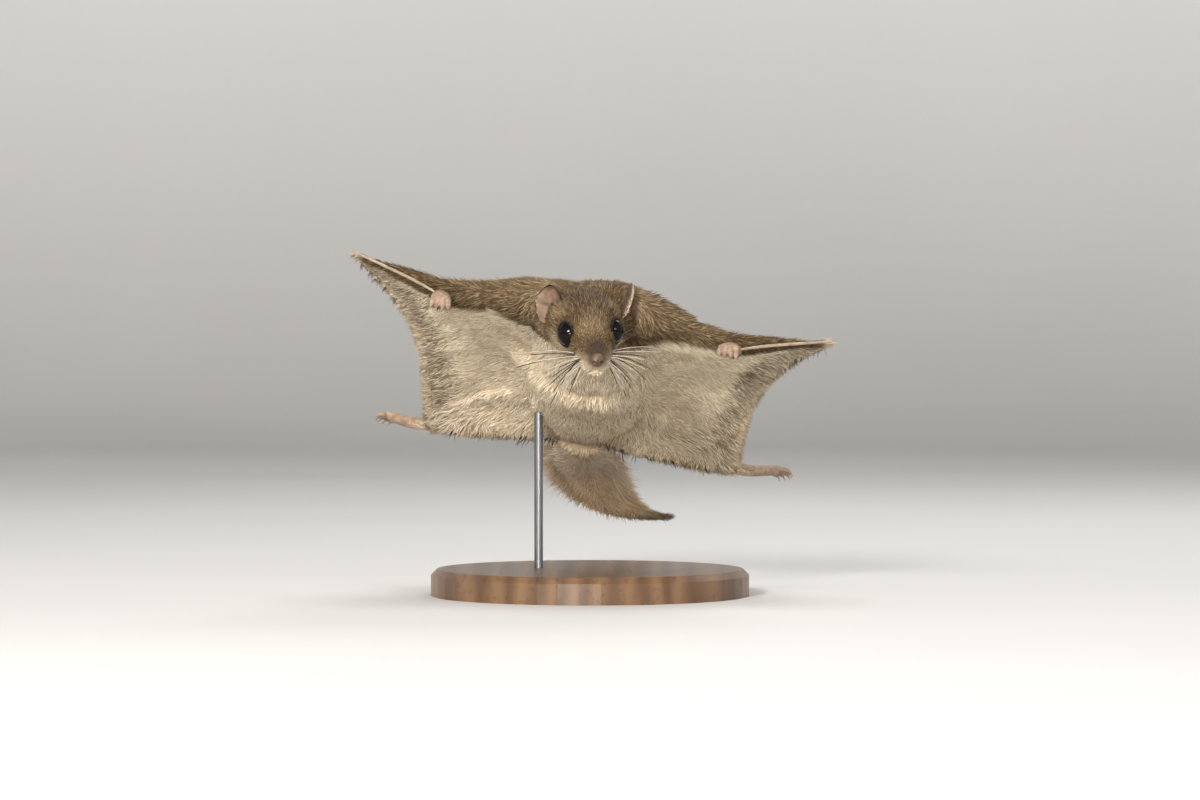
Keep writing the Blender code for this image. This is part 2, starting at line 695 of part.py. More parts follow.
def build():
    clear_scene()
    brown = material("fur_brown", FUR_BROWN, 0.85)
    face = material("fur_face", FUR_FACE, 0.85)
    cream = material("fur_cream", FUR_CREAM, 0.9)
    tawny = material("fur_tail", FUR_TAIL, 0.85)
    pink = material("bare_skin", SKIN_PINK, 0.6)
    black = material("eye", EYE_BLACK, 0.08)
    wood = material("stand_wood", WOOD, 0.4)
    steel = material("stand_steel", STEEL, 0.3, 1.0)

    body = empty("glide", (0, -BODY_FORWARD, SHOULDER_HEIGHT),
                 (-PITCH_DEG, ROLL_DEG, YAW_DEG))
    head_at = Vector(HEAD_CENTRE) + Vector((0, -BODY_FORWARD, SHOULDER_HEIGHT))
    skull = empty("head_pose", head_at, (HEAD_PITCH_DEG, HEAD_ROLL_DEG, HEAD_YAW_DEG))

    helpers = []

    def helper(name, shape, parent):
        obj = solid(name, shape, parent)
        obj.hide_render = True
        obj.display_type = "WIRE"
        helpers.append(obj)
        return obj

    def pieces(shapes, parent):
        return [solid("piece", shape, parent) for shape in shapes]

    # stand
    rod_line = [(ROD_X, ROD_Y, BASE_HEIGHT - ROD_SEAT, ROD_RADIUS, ROD_RADIUS, ROD_RADIUS),
                (ROD_X, ROD_Y, ROD_TOP, ROD_RADIUS, ROD_RADIUS, ROD_RADIUS)]
    solid("stand_rod", loft(rod_line, 16, up=(0, 1, 0)), None, steel)
    fat_rod = helper("fat_rod", loft(rod_line, 16, up=(0, 1, 0), grow=GAP), None)
    edge = BASE_RADIUS - 2.0
    base_rows = [(0, 0, 0, BASE_RADIUS, BASE_RADIUS, BASE_RADIUS),
                 (0, 0, BASE_HEIGHT - 2.0, BASE_RADIUS, BASE_RADIUS, BASE_RADIUS),
                 (0, 0, BASE_HEIGHT, edge, edge, edge)]
    base = solid("stand_base", loft(base_rows, 48, up=(0, 1, 0)), None, wood)
    cut(base, [fat_rod])

    # head with lids, sockets, mouth and nose
    head = solid("head", loft(head_rows(), 26, power=2.15, dome=0.4), skull, face)
    fat_head = helper("fat_head", loft(head_rows(), 26, power=2.15, grow=GAP, dome=0.4),
                      skull)
    torso = solid("torso", twisted(loft(torso_rows(), 24, power=2.3)), body, brown)
    fat_torso = helper("fat_torso", twisted(loft(torso_rows(), 24, power=2.3, grow=GAP)),
                       body)
    cut(torso, [fat_rod, fat_head])
    lids, hollows = [], []
    for side, word in ((-1, "right"), (1, "left")):
        centre = (EYE_X * side, EYE_Y, EYE_Z)
        axis = eye_axis(side)
        solid("eye_" + word, sphere(centre, EYE_RADIUS, 9, 14), skull, black)
        hollows.append(helper("fat_eye", sphere(centre, EYE_RADIUS + GAP, 10, 16), skull))
        rim = Vector(centre) + axis * LID_OFFSET
        lids.append(ring(rim, axis, LID_RADIUS, LID_TUBE, 18, 5))
    fuse(head, pieces(lids, skull))
    nose = solid("nose", ellipsoid(NOSE_CENTRE, NOSE_RADII, 6, 12), skull, pink)
    hollows.append(helper("fat_nose", ellipsoid(NOSE_CENTRE,
                                                [r + GAP for r in NOSE_RADII], 6, 12), skull))
    hollows.append(helper("mouth", mouth_line(), skull))
    cut(head, hollows)
    nostrils = []
    for side in (-1, 1):
        centre = (NOSTRIL_X * side, NOSE_CENTRE[1] - NOSE_RADII[1] * 0.86, NOSE_CENTRE[2] - 0.3)
        nostrils.append(helper("nostril", ellipsoid(centre, (NOSTRIL_RADIUS, 0.8, 0.4), 5, 6),
                               skull))
    cut(nose, nostrils)

    # neck between head and torso, then the ears
    neck_rows = [(-0.5, 5.0, -0.5, 18.5, 11.0, 11.0), (-0.7, -4.0, 1.6, 21.0, 11.2, 11.4),
                 (-0.9, -11.0, 1.4, 19.4, 10.9, 11.8), (-1.0, -17.0, 1.0, 16.2, 10.2, 11.4),
                 (-1.2, -22.0, 0.2, 12.4, 9.0, 10.0)]
    neck_rows = [(r[0], r[1] - BODY_FORWARD, r[2] + SHOULDER_HEIGHT, *r[3:])
                 for r in smooth_rows(neck_rows, 2)]
    neck = solid("neck", loft(neck_rows, 22, power=2.3), None, brown)
    cut(neck, [fat_torso, fat_head])
    fat_neck = helper("fat_neck", loft(neck_rows, 22, power=2.3, grow=GAP), None)
    for side, word in ((-1, "right"), (1, "left")):
        ear = solid("ear_" + word, sheet(ear_shape(side), 8, 8, ear_thickness), skull, pink)
        cut(ear, [fat_head, fat_neck, fat_torso])

    # tail: a short-haired root, then a core with its long hair combed to both sides
    path = tail_path(TAIL_STEPS)
    core = tail_core_rows(path)
    split = round(TAIL_STEPS * TAIL_ROOT_LENGTH / TAIL_LENGTH)
    tail_root = solid("tail_root", twisted(loft(core[:split + 1], 16)), body, tawny)
    fat_tail = helper("fat_tail", twisted(loft(core[:split + 1], 16, grow=GAP)), body)
    brush = solid("tail_brush", twisted(loft(core[split:-1], 12)), body, tawny)
    fuse(brush, pieces([twisted(s) for s in tail_locks(path)], body))
    cut(tail_root, [fat_torso])
    cut(brush, [fat_tail, fat_torso])

    for side, word in ((-1, "right"), (1, "left")):
        def limb(name, rows, sides, mat, dome=0.0):
            return solid(name + "_" + word, twisted(loft(rows, sides, dome=dome)), body, mat)

        def fat(name, rows, sides):
            return helper("fat_" + name, twisted(loft(rows, sides, grow=GAP)), body)

        # arm
        upper = limb("upper_arm", upper_arm_rows(side), 16, brown)
        fore = limb("forearm", forearm_rows(side), 16, brown)
        tip = limb("wing_tip", wing_tip_rows(side), 12, brown)
        arm_fats = [fat("upper_arm", upper_arm_rows(side), 16),
                    fat("forearm", forearm_rows(side), 16),
                    fat("wing_tip", wing_tip_rows(side), 12)]
        cut(upper, [fat_torso, fat_neck, fat_head])
        cut(fore, [fat_torso, fat_neck, arm_fats[0]])
        cut(tip, [arm_fats[1]])
        hand = limb("hand", hand_rows(side), 10, pink, dome=0.8)
        fingers = []
        for k in range(4):
            spread = k - 1.5
            root = Vector(KNUCKLES) + Vector((spread * 1.55, 0.4 + 0.25 * abs(spread), 0.3))
            shape = digit(mirror(root, side), (side * spread * 0.16, -0.55, -0.75),
                          (0, 0.75, -0.6), 4.6 - 0.4 * abs(spread), 0.72, 1.3)
            fingers.append(twisted(shape))
        fuse(hand, pieces(fingers, body))
        cut(hand, arm_fats)

        # leg
        thigh = limb("thigh", thigh_rows(side), 16, brown)
        shin = limb("shin", shin_rows(side), 14, brown)
        foot = limb("foot", foot_rows(side), 12, pink, dome=1.0)
        leg_fats = [fat("thigh", thigh_rows(side), 16), fat("shin", shin_rows(side), 14)]
        foot_fat = fat("foot", foot_rows(side), 12)
        toes = []
        along = (Vector(TOE_BASE) - Vector(ANKLE)).normalized()
        across = along.cross(Vector((0, 0, 1))).normalized()
        for k in range(5):
            spread = k - 2.0
            root = (Vector(TOE_BASE) - along * (0.9 + 0.35 * abs(spread))
                    + across * spread * 1.15)
            ahead = along + across * spread * 0.13
            shape = digit(mirror(root, side), mirror(ahead, side), (0, 0.1, -0.35),
                          7.4 - 0.55 * abs(spread), 0.8, 1.8)
            toes.append(twisted(shape))
        fuse(foot, pieces(toes, body))
        cut(thigh, [fat_torso, fat_rod])
        cut(shin, [leg_fats[0]])
        cut(foot, [leg_fats[1]])

        # membranes, their long edge hair first
        wing = sheet(patagium_patch(side), 14, 11, patagium_thickness)
        wing = solid("patagium_" + word, twisted(wing), body, cream)
        fuse(wing, pieces([twisted(s) for s in fringe_locks(side)], body))
        cut(wing, [fat_torso] + arm_fats + leg_fats + [foot_fat])
        rear = sheet(rear_patch(side), 12, 4, rear_thickness)
        rear = solid("rear_membrane_" + word, twisted(rear), body, cream)
        fuse(rear, pieces([twisted(s) for s in rear_fringe_locks(side)], body))
        cut(rear, [fat_torso, fat_tail] + leg_fats + [foot_fat])
    remove(helpers)


build()
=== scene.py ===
"""Looks of the gliding flying squirrel: one skin, a coat of solid tufts, face, paws, stand."""
import math

import bmesh
import bpy
import numpy as np
from mathutils import Matrix, Vector


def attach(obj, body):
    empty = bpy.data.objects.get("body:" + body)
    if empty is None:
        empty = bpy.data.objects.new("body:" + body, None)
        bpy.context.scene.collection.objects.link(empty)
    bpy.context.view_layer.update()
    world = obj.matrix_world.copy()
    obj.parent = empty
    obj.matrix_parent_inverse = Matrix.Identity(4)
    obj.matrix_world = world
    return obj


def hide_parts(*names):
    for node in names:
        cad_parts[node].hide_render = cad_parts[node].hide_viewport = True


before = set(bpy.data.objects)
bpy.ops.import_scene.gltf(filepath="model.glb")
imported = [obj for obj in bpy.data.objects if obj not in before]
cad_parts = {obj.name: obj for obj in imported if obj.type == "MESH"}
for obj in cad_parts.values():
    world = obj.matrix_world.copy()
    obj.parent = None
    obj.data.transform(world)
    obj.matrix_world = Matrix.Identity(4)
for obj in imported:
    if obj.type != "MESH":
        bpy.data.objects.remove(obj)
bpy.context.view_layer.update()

MM = 0.001
RNG = np.random.default_rng(7)

# attitude and joints, as in the solids (mm, body frame)
SHOULDER_HEIGHT = 93.0
BODY_FORWARD = 48.0
PITCH, ROLL, YAW = -28.0, 9.0, -3.0
HEAD_ANGLES = (23.0, -3.5, 8.0)
HEAD_CENTRE = (-1.2, -24.9, -1.8)
SHOULDER, ELBOW, WRIST = (11.0, -1.0, 1.0), (29.0, -7.0, -2.5), (48.5, -11.0, -5.0)
WING_TIP = (79.4, -15.0, 1.0)
HIP, KNEE, ANKLE = (11.0, 63.0, 0.0), (33.0, 70.0, -1.5), (53.0, 85.5, -4.0)
TOE_BASE, KNUCKLES = (67.5, 97.5, 2.8), (47.9, -18.8, -10.4)
TAIL_ROOT, TAIL_LENGTH, TAIL_STEPS = (0.0, 80.0, -3.5), 90.0, 60
EYE, EYE_RADIUS, EYE_OUT, EYE_UP = (6.2, -8.8, 1.8), 4.5, 59.0, 8.0
NOSE, NOSE_RADII = (0.0, -22.7, -1.8), (2.4, 2.3, 2.1)
VOXEL, PAW_VOXEL = 0.62, 0.23
PIECE_TUFTS, BRUSH_PIECE_TUFTS = 19500, 11500
BRUSH_TUFTS, EAR_TUFTS = 15000, 4200


# Frames

def euler(angles):
    out = Matrix.Identity(4)
    for angle, axis in zip(angles, "XYZ"):
        out = Matrix.Rotation(math.radians(angle), 4, axis) @ out
    return out


BODY = np.array(Matrix.Translation((0, -BODY_FORWARD, SHOULDER_HEIGHT))
                @ euler((PITCH, ROLL, YAW)))
HEAD = np.array(Matrix.Translation(Vector(HEAD_CENTRE) + Vector((0, -BODY_FORWARD,
                                                                  SHOULDER_HEIGHT)))
                @ euler(HEAD_ANGLES))
BODY_INV, HEAD_INV = np.linalg.inv(BODY), np.linalg.inv(HEAD)


def move(points, matrix):
    points = np.asarray(points, float)
    return points @ matrix[:3, :3].T + matrix[:3, 3]


def turn(vectors, matrix):
    return np.asarray(vectors, float) @ matrix[:3, :3].T


def wring(points, back=False):
    """The small twist between shoulders and hips."""
    p = np.array(points, float)
    t = np.clip((p[:, 1] + 15.0) / 110.0, 0, 1)
    slope = np.tan(np.radians(1.9 - 3.2 * t))
    p[:, 2] += p[:, 0] * slope * (1 if back else -1)
    return p


def to_world(points):
    return move(wring(points), BODY)


def unit(v):
    return v / np.maximum(np.linalg.norm(v, axis=-1, keepdims=True), 1e-9)


def fade(a, b, t):
    """From a, where t is 0, to b, where t is 1."""
    t = t[:, None] if np.ndim(a) == 2 else t
    return a * (1 - t) + b * t


def ramp(x, low, high):
    t = np.clip((x - low) / (high - low), 0, 1)
    return t * t * (3 - 2 * t)


# Forms

def smooth_rows(rows, steps):
    rows = np.array(rows, float)
    padded = np.vstack([rows[0], rows, rows[-1]])
    out = []
    for i in range(len(rows) - 1):
        a, b, c, d = padded[i:i + 4]
        for k in range(steps):
            t = k / steps
            out.append(0.5 * (2 * b + (c - a) * t + (2 * a - 5 * b + 4 * c - d) * t ** 2
                              + (3 * b - a - 3 * c + d) * t ** 3))
    out.append(rows[-1])
    return np.array(out)


def loft(rows, sides, power=2.0, less=0.0):
    """Closed tube through rows of x, y, z, half width, top, bottom, made thinner by less."""
    rows = np.array(rows, float)
    c = rows[:, :3]
    ahead = unit(np.vstack([c[1] - c[0], c[2:] - c[:-2], c[-1] - c[-2]]))
    side = unit(np.cross(ahead, (0.0, 0.0, 1.0)))
    rise = unit(np.cross(side, ahead))
    angle = 2 * np.pi * (np.arange(sides) + 0.5) / sides
    ca, sa = np.cos(angle), np.sin(angle)
    u = np.sign(ca) * np.abs(ca) ** (2 / power)
    v = np.sign(sa) * np.abs(sa) ** (2 / power)
    wide = np.maximum(rows[:, 3] - less, 0.15)
    top = np.maximum(rows[:, 4] - less, 0.15)
    low = np.maximum(rows[:, 5] - less, 0.15)
    high = np.where(sa[None] > 0, top[:, None], low[:, None])
    pts = (c[:, None] + side[:, None] * (u[None] * wide[:, None])[..., None]
           + rise[:, None] * (v[None] * high)[..., None]).reshape(-1, 3)
    n = len(rows)
    faces = []
    for i in range(n - 1):
        for k in range(sides):
            a, b = i * sides + k, i * sides + (k + 1) % sides
            faces.append((a, b, b + sides, a + sides))
    pts = np.vstack([pts, c[0], c[-1]])
    for k in range(sides):
        j = (k + 1) % sides
        faces.append((j, k, n * sides))
        faces.append(((n - 1) * sides + k, (n - 1) * sides + j, n * sides + 1))
    return pts, faces


def ellipsoid(centre, radii, rings=24, sides=32):
    angle = np.pi * np.arange(rings + 1) / rings
    r = np.maximum(np.sin(angle), 0.01)
    rows = [(centre[0], centre[1] - radii[1] * math.cos(a), centre[2], radii[0] * q,
             radii[2] * q, radii[2] * q) for a, q in zip(angle, r)]
    return loft(rows, sides)


def along(points, t):
    """Smooth positions at t (0 to 1) along a short run of points."""
    fine = smooth_rows(points, 16)
    x = np.clip(np.asarray(t, float), 0, 1) * (len(fine) - 1)
    i = np.minimum(x.astype(int), len(fine) - 2)
    f = (x - i)[..., None]
    return fine[i] * (1 - f) + fine[i + 1] * f


def surface(patch, u, v):
    """Places on a patch and its slopes along u and v."""
    e = 1e-3
    du = patch(np.minimum(u + e, 1), v) - patch(np.maximum(u - e, 0), v)
    dv = patch(u, np.minimum(v + e, 1)) - patch(u, np.maximum(v - e, 0))
    return patch(u, v), du, dv


def sheet(patch, across, down, thickness):
    """Closed curved plate round the middle surface patch(u, v)."""
    u, v = np.meshgrid(np.linspace(0, 1, across + 1), np.linspace(0, 1, down + 1))
    mid, du, dv = surface(patch, u, v)
    normal = unit(np.cross(du, dv))
    half = thickness(u, v)[..., None] / 2
    pts = np.vstack([(mid + normal * half).reshape(-1, 3),
                     (mid - normal * half).reshape(-1, 3)])
    total, wide = (across + 1) * (down + 1), across + 1
    faces = []
    for j in range(down):
        for i in range(across):
            a = j * wide + i
            faces.append((a, a + 1, a + 1 + wide, a + wide))
            faces.append((a + total, a + wide + total, a + 1 + wide + total, a + 1 + total))
    rim = list(range(across)) + [j * wide + across for j in range(down)]
    rim += [down * wide + i for i in range(across, 0, -1)]
    rim += [j * wide for j in range(down, 0, -1)]
    for k, a in enumerate(rim):
        b = rim[(k + 1) % len(rim)]
        faces.append((a, a + total, b + total, b))
    return pts, faces


def sided(rows, side):
    rows = np.array(rows, float)
    rows[:, 0] *= side
    return rows


TORSO_ROWS = smooth_rows([(0, -9, 2, 17, 9, 9.5), (0, -3, 1, 20, 11.6, 12), (0, 7, 0, 21, 14.2, 14),
                          (0, 22, 0, 20, 15, 14.5), (0, 38, 0, 19.5, 14.5, 15),
                          (0, 53, 0, 20.5, 14, 13.5), (0, 65, -0.5, 19.5, 12, 10.5),
                          (0, 73, -2, 14, 9, 8), (0, 80, -3.5, 7.5, 5.8, 5.8)], 6)
NECK_ROWS = smooth_rows([(-0.5, 5, -0.5, 18.5, 11, 11), (-0.7, -4, 1.6, 21, 11.2, 11.4),
                         (-0.9, -11, 1.4, 19.4, 10.9, 11.8), (-1.0, -17, 1, 16.2, 10.2, 11.4),
                         (-1.2, -22, 0.2, 12.4, 9, 10)], 6)
HEAD_ROWS = smooth_rows([(0, 13, 0.5, 9.4, 8, 8), (0, 8, 0.2, 12.2, 10.2, 10),
                         (0, 2.5, 0, 13, 10.8, 10.8), (0, -3, 0, 12, 10.5, 10.8),
                         (0, -7.5, 0, 10.2, 9.4, 10.2), (0, -12, -0.2, 8.5, 7.6, 9.2),
                         (0, -16, -0.8, 7, 5.4, 7.8), (0, -19.5, -1.4, 5.8, 3.4, 6),
                         (0, -22, -2, 4, 2, 3.8), (0, -23, -2.4, 2.6, 1.2, 2.2)], 6)


def arm_rows(side):
    rows = [(*SHOULDER, 10.5, 10, 8.5), (19, -4, -0.2, 10, 9.8, 7.2), (*ELBOW, 8.8, 7.6, 5.2),
            (38, -9.5, -4.4, 8.2, 5.6, 4.4), (*WRIST, 7.4, 3.8, 3.6), (58, -12.6, -3.6, 5.6, 3.2, 2.2),
            (69, -14, -1.4, 3.2, 2, 1.2), (*WING_TIP, 0.8, 0.5, 0.5)]
    return sided(smooth_rows(rows, 8), side)


def leg_rows(side):
    rows = [(*HIP, 11.5, 8.5, 8.5), (22, 66.5, -0.5, 9.8, 6.5, 6.5), (*KNEE, 7.6, 4.8, 4.8),
            (43, 77.5, -3, 5.6, 3.6, 3.6), (*ANKLE, 3.4, 2.6, 2.6), (55, 87.4, -3.3, 2.7, 2.2, 2.2)]
    return sided(smooth_rows(rows, 8), side)


FRONT = [(12.0, -2.0, 1.5), ELBOW, WRIST, WING_TIP]
OUTER = [WING_TIP, (65.3, 8.0, 1.0), (56.3, 36.0, 0.0), (53.5, 64.0, -3.0),
         (ANKLE[0], ANKLE[1] - 1.0, ANKLE[2])]
LEG = [(12.0, 63.0, 0.0), KNEE, ANKLE]
INNER = [(12.0, -2.0, 1.5), (12.0, 30.0, 2.0), (12.0, 63.0, 0.0)]
REAR = [(6.0, 80.5, -4.0), (24.0, 81.5, -5.0), (38.0, 84.0, -5.0),
        (ANKLE[0] - 1.0, ANKLE[1] + 1.5, ANKLE[2])]


def wing_patch(side):
    def patch(u, v):
        uu, vv = u[..., None], v[..., None]
        front, rear, inner, outer = along(FRONT, u), along(LEG, u), along(INNER, v), along(OUTER, v)
        ruled = front * (1 - vv) + rear * vv + inner * (1 - uu) + outer * uu
        c = [along(FRONT, 0.0), along(FRONT, 1.0), along(LEG, 0.0), along(LEG, 1.0)]
        flat = (c[0] * (1 - uu) + c[1] * uu) * (1 - vv) + (c[2] * (1 - uu) + c[3] * uu) * vv
        out = ruled - flat
        out[..., 2] += 5.0 * np.sin(np.pi * u) * np.maximum(np.sin(np.pi * v), 0) ** 0.7
        out[..., 0] *= side
        return out
    return patch


def rear_patch(side):
    def patch(u, v):
        front = along([(8.0, 66.0, -2.0), KNEE, ANKLE], u)
        out = front * (1 - v[..., None]) + along(REAR, u) * v[..., None]
        out[..., 0] *= side
        return out
    return patch


def tail_path(steps):
    p = np.array(TAIL_ROOT, float)
    path = [p.copy()]
    for i in range(steps):
        t = (i + 0.5) / steps
        swing, lift = math.radians(66.0) * t ** 1.9, math.radians(4.0 + 16.0 * t ** 4)
        p = p + np.array([math.sin(swing) * math.cos(lift), math.cos(swing) * math.cos(lift),
                          math.sin(lift)]) * TAIL_LENGTH / steps
        path.append(p.copy())
    return np.array(path)


def tail_half(t):
    close = 1 - 0.95 * np.maximum(0, (t - 0.42) / 0.58) ** 1.2
    return 15.2 * np.minimum(1, 0.62 + 2.0 * t) * close + 0.5


def tail_core(path):
    rows = []
    for i, p in enumerate(path):
        t = i / (len(path) - 1)
        ease = min(1.0, t / 0.32)
        wide = tail_half(t) * (0.78 - 0.20 * ease)
        thick = (6.0 * (1 - ease) + 2.2 * ease) * (1 - 0.7 * max(0, (t - 0.5) / 0.5))
        rows.append((*p, wide, thick, thick))
    return rows


# Meshes

def make(name, points, faces, slot, replaced=(), uv=None, values=None):
    """Object from world points in mm; faces are a list of tuples or an array of triangles."""
    mesh = bpy.data.meshes.new(name)
    points = np.asarray(points, np.float64) * MM
    if isinstance(faces, np.ndarray):
        mesh.vertices.add(len(points))
        mesh.vertices.foreach_set("co", points.ravel())
        mesh.loops.add(faces.size)
        mesh.loops.foreach_set("vertex_index", faces.ravel().astype(np.int32))
        mesh.polygons.add(len(faces))
        mesh.polygons.foreach_set("loop_start", np.arange(len(faces), dtype=np.int32) * 3)
        mesh.polygons.foreach_set("loop_total", np.full(len(faces), 3, np.int32))
        mesh.update(calc_edges=True)
    else:
        mesh.from_pydata(points.tolist(), [], faces)
    mesh.polygons.foreach_set("use_smooth", np.ones(len(mesh.polygons), bool))
    if uv is not None:
        layer = mesh.uv_layers.new(name="OFBake")
        loops = np.empty(len(mesh.loops), np.int32)
        mesh.loops.foreach_get("vertex_index", loops)
        layer.data.foreach_set("uv", uv[loops].astype(np.float32).ravel())
    for key, array in (values or {}).items():
        attr = mesh.attributes.new(key, "FLOAT", "POINT")
        attr.data.foreach_set("value", np.asarray(array, np.float32))
    obj = bpy.data.objects.new(name, mesh)
    bpy.context.scene.collection.objects.link(obj)
    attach(obj, "root")
    if replaced:
        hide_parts(*replaced)
    return obj


def fix_normals(obj):
    bm = bmesh.new()
    bm.from_mesh(obj.data)
    bmesh.ops.recalc_face_normals(bm, faces=bm.faces)
    bm.to_mesh(obj.data)
    bm.free()


def apply_all(obj):
    bpy.context.view_layer.update()
    graph = bpy.context.evaluated_depsgraph_get()
    mesh = bpy.data.meshes.new_from_object(obj.evaluated_get(graph))
    obj.modifiers.clear()
    obj.data = mesh


def arrays(obj):
    """Points (mm), triangles and vertex normals of an object's mesh."""
    mesh = obj.data
    mesh.calc_loop_triangles()
    co = np.empty(len(mesh.vertices) * 3)
    mesh.vertices.foreach_get("co", co)
    tri = np.empty(len(mesh.loop_triangles) * 3, np.int32)
    mesh.loop_triangles.foreach_get("vertices", tri)
    co, tri = co.reshape(-1, 3) / MM, tri.reshape(-1, 3)
    face = np.cross(co[tri[:, 1]] - co[tri[:, 0]], co[tri[:, 2]] - co[tri[:, 0]])
    normal = np.zeros_like(co)
    for k in range(3):
        np.add.at(normal, tri[:, k], face)
    return co, tri, unit(normal)


def relax(obj, rounds, amount=0.5):
    """Laplacian smoothing that keeps the overall size."""
    mesh = obj.data
    co = np.empty(len(mesh.vertices) * 3)
    mesh.vertices.foreach_get("co", co)
    co = co.reshape(-1, 3)
    edges = np.empty(len(mesh.edges) * 2, np.int32)
    mesh.edges.foreach_get("vertices", edges)
    edges = edges.reshape(-1, 2)
    count = np.bincount(edges.ravel(), minlength=len(co))[:, None]
    for k in range(rounds):
        for step in (amount, -amount * 1.02):
            total = np.zeros_like(co)
            np.add.at(total, edges[:, 0], co[edges[:, 1]])
            np.add.at(total, edges[:, 1], co[edges[:, 0]])
            co = co + (total / np.maximum(count, 1) - co) * step
    mesh.vertices.foreach_set("co", co.ravel())
    mesh.update()


def merge(shapes):
    pts, faces, base = [], [], 0
    for p, f in shapes:
        pts.append(p)
        faces += [tuple(i + base for i in face) for face in f]
        base += len(p)
    return np.vstack(pts), faces


# Markings and lie of the coat

OUTER_LINE = along(OUTER, np.linspace(0, 1, 70))
REAR_LINE = along(REAR, np.linspace(0, 1, 40))
ARM_LINE = smooth_rows([SHOULDER, (19, -4, -0.2), ELBOW, (38, -9.5, -4.4), WRIST,
                        (58, -12.6, -3.6), (69, -14, -1.4), WING_TIP], 8)
LEG_LINE = smooth_rows([HIP, (22, 66.5, -0.5), KNEE, (43, 77.5, -3), ANKLE, (55, 87.4, -3.3)], 8)


def distance(points, line):
    """Distance across x and y to a run of points, and the position along it (0 to 1)."""
    flat, line = points[:, :2], line[:, :2]
    best = np.full(len(points), 1e9)
    where = np.zeros(len(points))
    for i in range(len(line) - 1):
        step = line[i + 1] - line[i]
        t = np.clip((flat - line[i]) @ step / max(step @ step, 1e-9), 0, 1)
        d = np.linalg.norm(flat - line[i] - t[:, None] * step, axis=1)
        closer = d < best
        best[closer] = d[closer]
        where[closer] = (i + t[closer]) / (len(line) - 1)
    return best, where


LATTICE = np.random.default_rng(3).random((48, 48, 48))


def noise(points, size):
    """Smooth noise (0 to 1) whose lumps are about size mm across."""
    q = np.asarray(points, float) / size + 500.3
    i = np.floor(q).astype(int)
    f = q - i
    f = f * f * (3 - 2 * f)
    total = 0.0
    for dx in (0, 1):
        for dy in (0, 1):
            for dz in (0, 1):
                w = (np.abs(1 - dx - f[:, 0]) * np.abs(1 - dy - f[:, 1]) * np.abs(1 - dz - f[:, 2]))
                total = total + w * LATTICE[(i[:, 0] + dx) % 48, (i[:, 1] + dy) % 48,
                                            (i[:, 2] + dz) % 48]
    return total


# edge of the brown across the throat and arms, seen from the front: x and height from the shoulder
THROAT_X = (-43.8, -30.3, -21.9, -15.5, -9.3, 0.8, 4.2, 11.3, 14.4, 22.5, 34.8, 40.9)
THROAT_Z = (4.2, 3.2, -1.0, -7.4, -12.6, -16.4, -14.5, -11.3, -8.9, -5.8, -7.7, -9.3)
RIDGE = [(50.5, -16.5, -8.6), (58.0, -15.4, -5.2), (69.0, -15.6, -2.0), (79.0, -15.2, 1.0)]


def blob(points, centre, radius, soft=0.6):
    """1 inside a ball about the centre, mirrored across the face, easing to 0."""
    p = points.copy()
    p[:, 0] = np.abs(p[:, 0])
    d = np.linalg.norm(p - np.array(centre), axis=1)
    return 1 - ramp(d, radius * (1 - soft), radius * (1 + soft))


